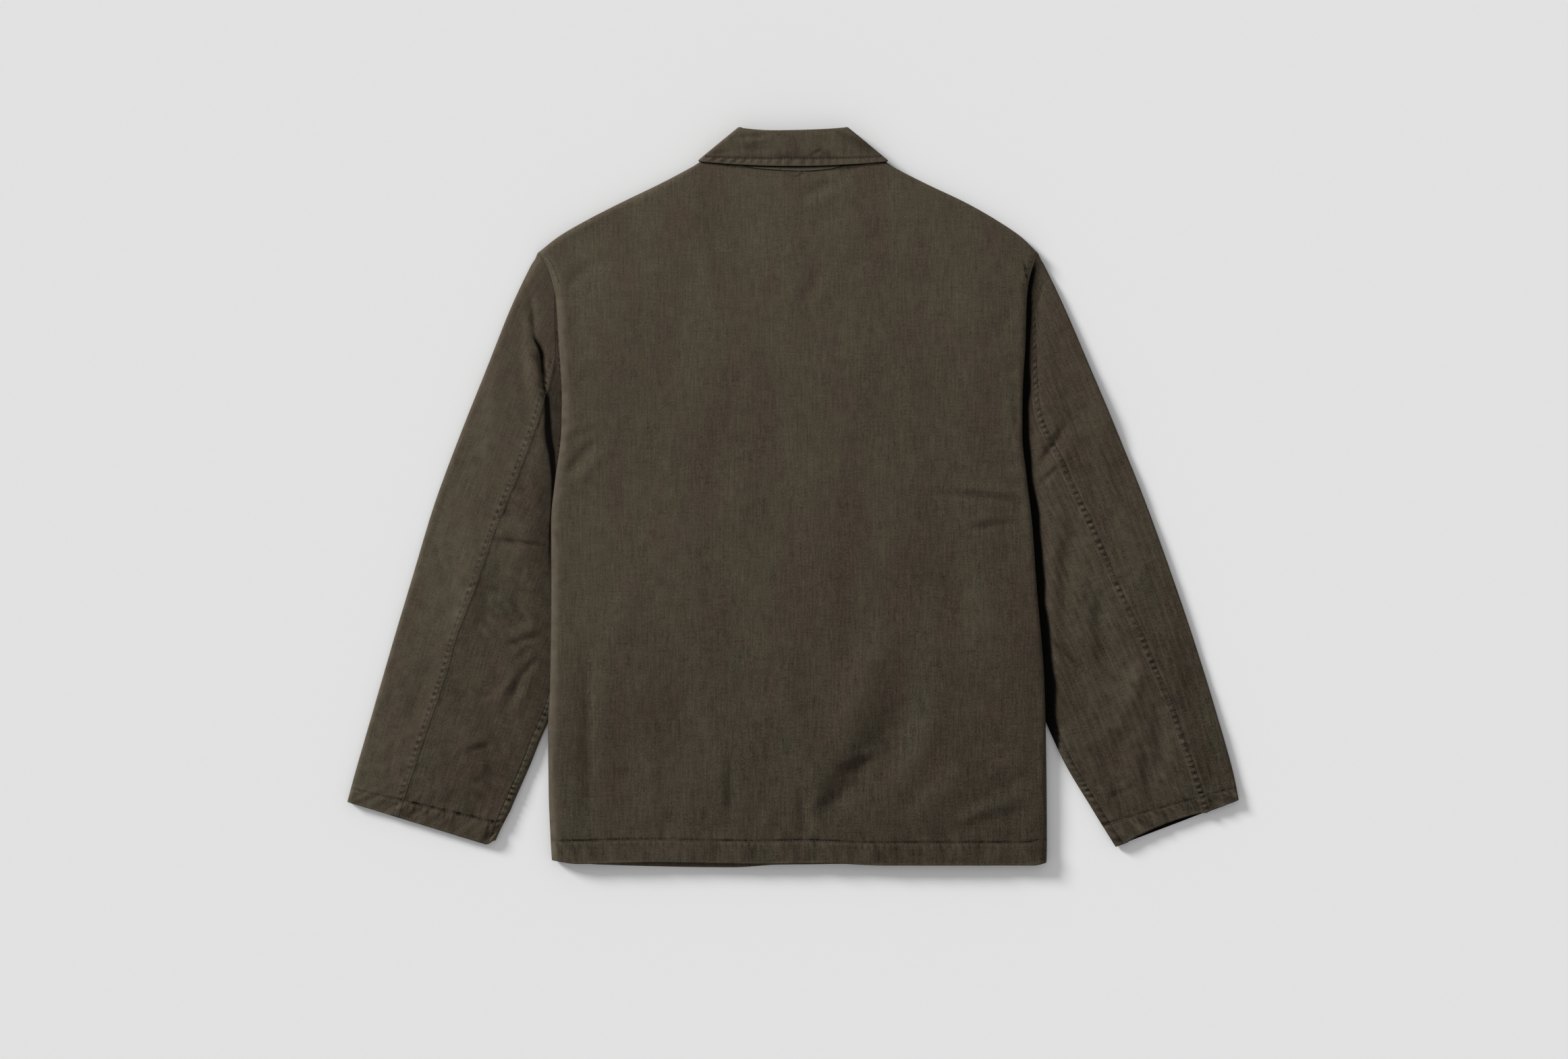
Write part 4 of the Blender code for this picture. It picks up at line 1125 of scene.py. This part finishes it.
def herringbone_group():
    """Twill that slants one way and then the other in columns along the grain."""
    inputs = (("Grain", None), ("Column", 0.0042), ("Rib", 0.0011))
    group, start, end = new_group("herringbone", inputs, ("Side", "Ribs", "Line"))
    work = partial(maths, group)
    width, rib = start.outputs["Column"], start.outputs["Rib"]
    x = add_node(group, "SeparateXYZ", 0, {0: start.outputs["Grain"]})
    y = add_node(group, "SeparateXYZ", 1, {0: start.outputs["Grain"]})
    column = work("DIVIDE", x, width)
    across = work("PINGPONG", column, 1.0)
    slant = work("MULTIPLY", work("MULTIPLY", across, width), 1.6)
    phase = work("DIVIDE", work("ADD", y, slant), rib)
    edge = work("ABSOLUTE", work("SUBTRACT", across, 0.5))
    results = {
        "Side": work("SINE", work("MULTIPLY", column, math.pi)),
        "Ribs": work("SINE", work("MULTIPLY", phase, math.tau)),
        "Line": work("GREATER_THAN", edge, 0.4),
    }
    feed_all(group, end, results)
    return group


# Kinds of noise: what they follow, their scale each way, and their detail
MOTTLE = {
    "Streaks": ("Grain", (520.0, 44.0, 1.0), 3.0),
    "Slubs": ("Grain", (50.0, 480.0, 1.0), 2.0),
    "Bands": ("Grain", (26.0, 5.0, 1.0), 2.0),
    "Clouds": ("Place", (34.0, 30.0, 30.0), 4.0),
    "Patches": ("Place", (110.0, 90.0, 90.0), 3.0),
    "Specks": ("Place", (640.0, 640.0, 640.0), 0.0),
}

# How much of each noise goes into the cloth's tone
TONE_WEIGHTS = {"Streaks": 0.84, "Slubs": 0.36, "Clouds": 0.34, "Patches": 0.4, "Specks": 0.7}


def mottle_group():
    """Uneven dye and yarn: each output is noise about nothing, from broad clouds to specks."""
    group, start, end = new_group("mottle", (("Grain", None), ("Place", None)), MOTTLE)
    for label, (source, scale, detail) in MOTTLE.items():
        spot = {"Vector": start.outputs[source], "Scale": scale}
        vector = add_node(group, "Mapping", "Vector", spot)
        settings = {"Vector": vector, "Scale": 1.0, "Detail": detail}
        hills = add_node(group, "TexNoise", "Fac", settings)
        feed(group, end.inputs[label], maths(group, "SUBTRACT", hills, 0.5))
    return group


def painted_light_group():
    """Painted light, brighter towards one shoulder and darker away from it, as a share to add to the
    cloth's tone.
    """
    inputs = (("Place", None), ("Way", (-0.36, 0.48, 0.0)))
    group, start, end = new_group("falloff", inputs, ("Fade",))
    both = {0: start.outputs["Place"], 1: start.outputs["Way"]}
    product = add_node(group, "VectorMath", "Value", both, operation="DOT_PRODUCT")
    feed(group, end.inputs["Fade"], product)
    return group


def blend_colour(tree, amount, first, second, kind="MIX"):
    inputs = {0: amount, 6: first, 7: second}
    return add_node(tree, "Mix", 2, inputs, data_type="RGBA", blend_type=kind)


def weighted(tree, total, source, weights):
    """The starting value plus each named output of a node times its weight."""
    for label, weight in weights.items():
        total = maths(tree, "MULTIPLY_ADD", source.outputs[label], weight, total)
    return total


def new_material(name):
    """A material with its node tree and its shader."""
    material = bpy.data.materials.new(name)
    material.use_nodes = True
    return material, material.node_tree, material.node_tree.nodes["Principled BSDF"]


def bumps(tree, height, strength, distance):
    inputs = {"Height": height, "Strength": strength, "Distance": distance}
    return add_node(tree, "Bump", "Normal", inputs)


def add_group(tree, group):
    """A group in a tree, fed with the cloth's grain and with places on the object."""
    node = tree.nodes.new("ShaderNodeGroup")
    node.node_tree = group
    if "Grain" in node.inputs:
        feed(tree, node.inputs["Grain"], add_node(tree, "UVMap", "UV", {}, uv_map="grain"))
    if "Place" in node.inputs:
        feed(tree, node.inputs["Place"], add_node(tree, "TexCoord", "Object", {}))
    return node


def attribute(tree, label):
    return add_node(tree, "Attribute", "Fac", {}, attribute_name=label)


def cotton_colour(tree, weave, mottle, falloff):
    """Olive and brown with uneven dye, painted light brighter towards one shoulder, dark where shade
    is painted, and pale from rubbing and where highlights are painted.
    """
    hue = weighted(tree, 0.5, mottle, {"Bands": 2.6, "Clouds": 1.6})
    # Painted light, brighter towards one shoulder, shifts both hue and tone.
    hue = weighted(tree, hue, falloff, {"Fade": -0.4})
    hue = maths(tree, "MINIMUM", maths(tree, "MAXIMUM", hue, 0.0), 1.0)
    colour = blend_colour(tree, hue, (*colours().olive, 1), (*colours().brown, 1))
    tone = weighted(tree, 1.0, mottle, TONE_WEIGHTS)
    tone = weighted(tree, tone, weave, {"Side": 0.045, "Ribs": 0.03, "Line": -0.04})
    tone = weighted(tree, tone, falloff, {"Fade": 1.0})
    tone = maths(tree, "MULTIPLY", tone, maths(tree, "SUBTRACT", 1.0, attribute(tree, "shade")))
    colour = blend_colour(tree, 1.0, colour, tone, "MULTIPLY")
    # Paler from rubbing and from painted highlights.
    patches = weighted(tree, 0.8, mottle, {"Patches": 1.2})
    rubbed_and_highlit = maths(tree, "MULTIPLY", attribute(tree, "wear_and_painted_shading"), patches)
    return blend_colour(tree, rubbed_and_highlit, colour, (*colours().worn_and_painted_shading, 1))


def cotton_material():
    """Olive and brown herringbone cotton with edges pale from rubbing, painted light and shade, and
    uneven dye.
    """
    name = "woven_herringbone"
    if name in bpy.data.materials:
        return bpy.data.materials[name]
    material, tree, shader = new_material(name)
    weave = add_group(tree, herringbone_group())
    feed(tree, weave.inputs["Column"], sizes().column)
    mottle = add_group(tree, mottle_group())
    falloff = add_group(tree, painted_light_group())
    relief = weighted(tree, 0.0, weave, {"Ribs": 0.25})
    relief = weighted(tree, relief, mottle, {"Streaks": 0.6, "Slubs": 0.4})
    inputs = {
        "Base Color": cotton_colour(tree, weave, mottle, falloff),
        "Roughness": weighted(tree, 0.92, mottle, {"Clouds": 0.2}),
        "Specular IOR Level": 0.06,
        "Normal": bumps(tree, relief, 0.6, 0.0006),
    }
    feed_all(tree, shader, inputs)
    return material


def plain_material(name, colour, roughness, grain_size, depth):
    """A plain finish with a fine uneven surface, for thread and buttons."""
    if name in bpy.data.materials:
        return bpy.data.materials[name]
    material, tree, shader = new_material(name)
    place = add_node(tree, "TexCoord", "Object", {})
    grain = add_node(tree, "TexNoise", "Fac", {"Vector": place, "Scale": grain_size})
    dark, pale = [(*(c * share for c in colour), 1) for share in (0.75, 1.25)]
    inputs = {
        "Base Color": blend_colour(tree, grain, dark, pale),
        "Roughness": roughness,
        "Normal": bumps(tree, grain, 1.0, depth),
    }
    feed_all(tree, shader, inputs)
    return material


def stitch_template():
    """One stitch: a short thread that dips into the cloth at both ends."""
    half = sizes().stitch / 2
    rings = []
    for along, lift, size in ((-1, -0.6, 0.6), (-0.4, 0.5, 1), (0.4, 0.5, 1), (1, -0.6, 0.6)):
        ring = []
        for side, up in STITCH_RING:
            away = STITCH_RADIUS * size * side
            ring.append((half * along, away, STITCH_RADIUS * (lift + size * up)))
        rings.append(ring)
    return rings


def add_tube(bm, rings):
    """A closed tube through rings of points."""
    rings = [[bm.verts.new(point) for point in ring] for ring in rings]
    for near, far in zip(rings[:-1], rings[1:]):
        for corners in zip(near, near[1:] + near[:1], far[1:] + far[:1], far):
            bm.faces.new(corners)
    bm.faces.new(rings[0][::-1])
    bm.faces.new(rings[-1])


def stitch_row(bm, path):
    """Stitches along a path of (x, y, z) points in millimetres, one step apart."""
    points = [Vector(point) * MM for point in path]
    step = sizes().stitch_step
    template = stitch_template()
    travelled = 0.0
    due = step / 2
    for a, b in zip(points[:-1], points[1:]):
        length = (b - a).length
        while length > 0 and due <= travelled + length:
            centre = a.lerp(b, (due - travelled) / length)
            along = (b - a).normalized()
            across = Vector((-along.y, along.x, 0)).normalized()
            place = Matrix((along, across, along.cross(across))).transposed()
            add_tube(bm, [[centre + place @ Vector(p) for p in ring] for ring in template])
            due += step
        travelled += length


def thread_run(path):
    """Rings of a loose thread along a path of (x, y, z) points in millimetres."""
    ways = [Vector((across, 0, up)) * LOOSE_THREAD_RADIUS for across, up in STITCH_RING]
    return [[(Vector(point) + way) * MM for way in ways] for point in path]


def loose_thread():
    """The thread end that hangs in a small loop below the collar."""
    loop = curve(((-15, 342.8), (-12, 339.8), (-6.5, 336.3), (0.4, 335), (4.6, 337), (7.4, 339.2)))
    path = []
    for x in spread(-15.0, 7.4, 41):
        cloth_z = back_surface(x, min(loop(x), 338.0))[2]
        path.append((x, loop(x), max(cloth_z, NECK_SEAM_Z + 1.2) + 0.5))
    return path


def back_surface(x, y):
    """A point just above the back's cloth."""
    side = min(x - left_edge(y), right_edge(y) - x)
    return x, y, back_z(x, y, side, shoulder_y(x) - y) + STITCH_LIFT


def sleeve_surface(sleeve, down, place):
    """A point just above a sleeve's cloth."""
    width = sleeve_width(sleeve, down)
    x, y = sleeve_plan(sleeve, down, place / width)
    return x, y, sleeve_top_z(sleeve, down, place, width) + STITCH_LIFT


def back_stitch_paths():
    """One row along the hem's top, and two rows down the upper part of each side."""
    hem = [back_surface(x, back_hem_y(x) + HEM_WIDTH - HEM_ROW_IN) for x in spread(-244, 256, 260)]
    paths = [hem]
    for edge, inward in ((left_edge, 1), (right_edge, -1)):
        for away in SEAM_ROWS:
            paths.append([back_surface(edge(y) + inward * away, y) for y in spread(250, 222, 20)])
    return paths


def sleeve_stitch_paths(sleeve):
    """Two rows down the back seam, one across the cuff's hem and one by the inner seam below."""
    paths = []
    for away in SEAM_ROWS:
        row = []
        for down in spread(0.14, 0.998, 240):
            seam = sleeve.reader.seam(down) * sleeve_width(sleeve, down)
            row.append(sleeve_surface(sleeve, down, seam + away))
        paths.append(row)
    down = sleeve_downs(sleeve)[-1 - round(CUFF_HEM_WIDTH / SLEEVE_STEP)]
    across = spread(6, sleeve_width(sleeve, down) - 5, 80)
    hem = [sleeve_surface(sleeve, down, place) for place in across]
    place = INNER_SEAM_IN + SEAM_ROW_IN
    inner = [sleeve_surface(sleeve, down, place) for down in spread(0.78, 0.998, 80)]
    return paths + [hem, inner]


def collar_stitch_paths():
    """One row along the leaf's free edge, across the back."""
    edge = []
    for side, part, share in collar_stations(0, 0, 60):
        length = collar_frame(side, part, share)[2]
        place = (length - COLLAR_TOPSTITCH - 3) / (length - 3)
        edge.append(leaf_point(side, part, share, place) + Vector((0, 0, STITCH_LIFT)))
    return [edge]


def make_stitching(name, paths, loose=None):
    """One piece of all the stitches along the paths, with the loose thread if it has one."""
    bm = bmesh.new()
    for path in paths:
        stitch_row(bm, path)
    if loose:
        add_tube(bm, thread_run(loose))
    bmesh.ops.recalc_face_normals(bm, faces=bm.faces)
    piece = new_piece(name, bm)
    piece.data.shade_smooth()
    thread = plain_material("cotton_thread", colours().thread, 0.85, 2500.0, 0.0001)
    piece.data.materials.append(thread)
    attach(piece, "root")


class JACKET_OT_back(Operator):
    """Makes the back panel's cloth"""

    bl_idname = "jacket.back"
    bl_label = "Back"

    def execute(self, context):
        make_back_piece()
        return {"FINISHED"}


class JACKET_OT_fronts(Operator):
    """Makes the two fronts' cloth"""

    bl_idname = "jacket.fronts"
    bl_label = "Fronts"

    def execute(self, context):
        make_front_piece("front_left_cloth", "front_left", (None, PLACKET_HALF), 0.0)
        make_front_piece("front_right_cloth", "front_right", (-PLACKET_HALF, None), FRONT_OVERLAP)
        return {"FINISHED"}


class JACKET_OT_sleeves(Operator):
    """Makes the two pieces of each sleeve"""

    bl_idname = "jacket.sleeves"
    bl_label = "Sleeves"

    def execute(self, context):
        for sleeve in sleeve_parts():
            make_sleeve_piece(sleeve, "top", sleeve_section)
            make_sleeve_piece(sleeve, "under", under_section)
        return {"FINISHED"}


class JACKET_OT_collar(Operator):
    """Makes the collar's leaf and stand"""

    bl_idname = "jacket.collar"
    bl_label = "Collar"

    def execute(self, context):
        make_leaf_piece()
        make_stand_piece()
        return {"FINISHED"}


class JACKET_OT_stitching(Operator):
    """Makes the rows of stitches"""

    bl_idname = "jacket.stitching"
    bl_label = "Stitching"

    def execute(self, context):
        make_stitching("back_stitches", back_stitch_paths())
        for sleeve in sleeve_parts():
            make_stitching(f"sleeve_{sleeve.word}_stitches", sleeve_stitch_paths(sleeve))
        make_stitching("collar_stitches", collar_stitch_paths(), loose_thread())
        return {"FINISHED"}


class JACKET_OT_buttons(Operator):
    """Gives the buttons their finish"""

    bl_idname = "jacket.buttons"
    bl_label = "Buttons"

    def execute(self, context):
        finish = plain_material("button_finish", colours().button, 0.42, 180.0, 0.00005)
        for node in BUTTONS:
            materials = bpy.data.objects[node].data.materials
            materials.clear()
            materials.append(finish)
        return {"FINISHED"}


class JACKET_OT_stage(Operator):
    """Makes the floor, the light and the camera"""

    bl_idname = "jacket.stage"
    bl_label = "Stage"

    def execute(self, context):
        make_floor()
        make_light(context.scene)
        make_camera(context.scene)
        return {"FINISHED"}


def make_floor():
    bpy.ops.object.select_all(action="DESELECT")
    bpy.ops.mesh.primitive_plane_add(size=FLOOR_SIZE, location=(0, 0, -FLOOR_DROP))
    floor = bpy.context.object
    floor.name = "studio_floor"
    material, tree, shader = new_material("studio_floor")
    matte = {"Base Color": (*colours().floor, 1), "Roughness": 1.0, "Specular IOR Level": 0.0}
    feed_all(tree, shader, matte)
    floor.data.materials.append(material)


def make_light(scene):
    """A soft sun from the upper left and an even pale surround."""
    light = bpy.data.lights.new("key", "SUN")
    light.energy = SUN_ENERGY
    light.angle = math.radians(SUN_ANGLE)
    key = bpy.data.objects.new("key", light)
    scene.collection.objects.link(key)
    key.rotation_mode = "QUATERNION"
    key.rotation_quaternion = Vector(SUN_WAY).to_track_quat("-Z", "Y")
    world = bpy.data.worlds.new("studio")
    scene.world = world
    world.use_nodes = True
    grey = {"Color": (SURROUND, SURROUND, SURROUND, 1), "Strength": 1.0}
    feed_all(world.node_tree, world.node_tree.nodes["Background"], grey)
    scene.view_settings.view_transform = "Standard"


def make_camera(scene):
    """Straight above the jacket, far enough for the whole frame's width."""
    lens = bpy.data.cameras.new("camera")
    lens.lens = sizes().lens
    camera = bpy.data.objects.new("camera", lens)
    scene.collection.objects.link(camera)
    height = FRAME_WIDTH * MM * lens.lens / lens.sensor_width
    camera.location = (FRAME_CENTRE[0] * MM, FRAME_CENTRE[1] * MM, height + 0.01)
    lens.clip_end = 100
    scene.camera = camera


class JACKET_PT_panel(Panel):
    """Lists the jacket's pieces"""

    bl_idname = "JACKET_PT_panel"
    bl_label = "Deck jacket"
    bl_space_type = "VIEW_3D"
    bl_region_type = "UI"
    bl_category = "Deck jacket"

    def draw(self, context):
        layout = self.layout
        for group in (context.scene.jacket_sizes, context.scene.jacket_colours):
            box = layout.box()
            for name in group.__annotations__:
                box.prop(group, name)
        for operator in OPERATORS:
            layout.operator(operator.bl_idname)


OPERATORS = (
    JACKET_OT_back,
    JACKET_OT_fronts,
    JACKET_OT_sleeves,
    JACKET_OT_collar,
    JACKET_OT_stitching,
    JACKET_OT_buttons,
    JACKET_OT_stage,
)
CLASSES = (JacketSizes, JacketColours, *OPERATORS, JACKET_PT_panel)


def register():
    for cls in CLASSES:
        bpy.utils.register_class(cls)
    bpy.types.Scene.jacket_sizes = PointerProperty(type=JacketSizes)
    bpy.types.Scene.jacket_colours = PointerProperty(type=JacketColours)


def unregister():
    del bpy.types.Scene.jacket_colours
    del bpy.types.Scene.jacket_sizes
    for cls in reversed(CLASSES):
        bpy.utils.unregister_class(cls)


def main():
    register()
    bpy.ops.jacket.back()
    bpy.ops.jacket.fronts()
    bpy.ops.jacket.sleeves()
    bpy.ops.jacket.collar()
    bpy.ops.jacket.stitching()
    bpy.ops.jacket.buttons()
    bpy.ops.jacket.stage()


if __name__ == "__main__":
    main()
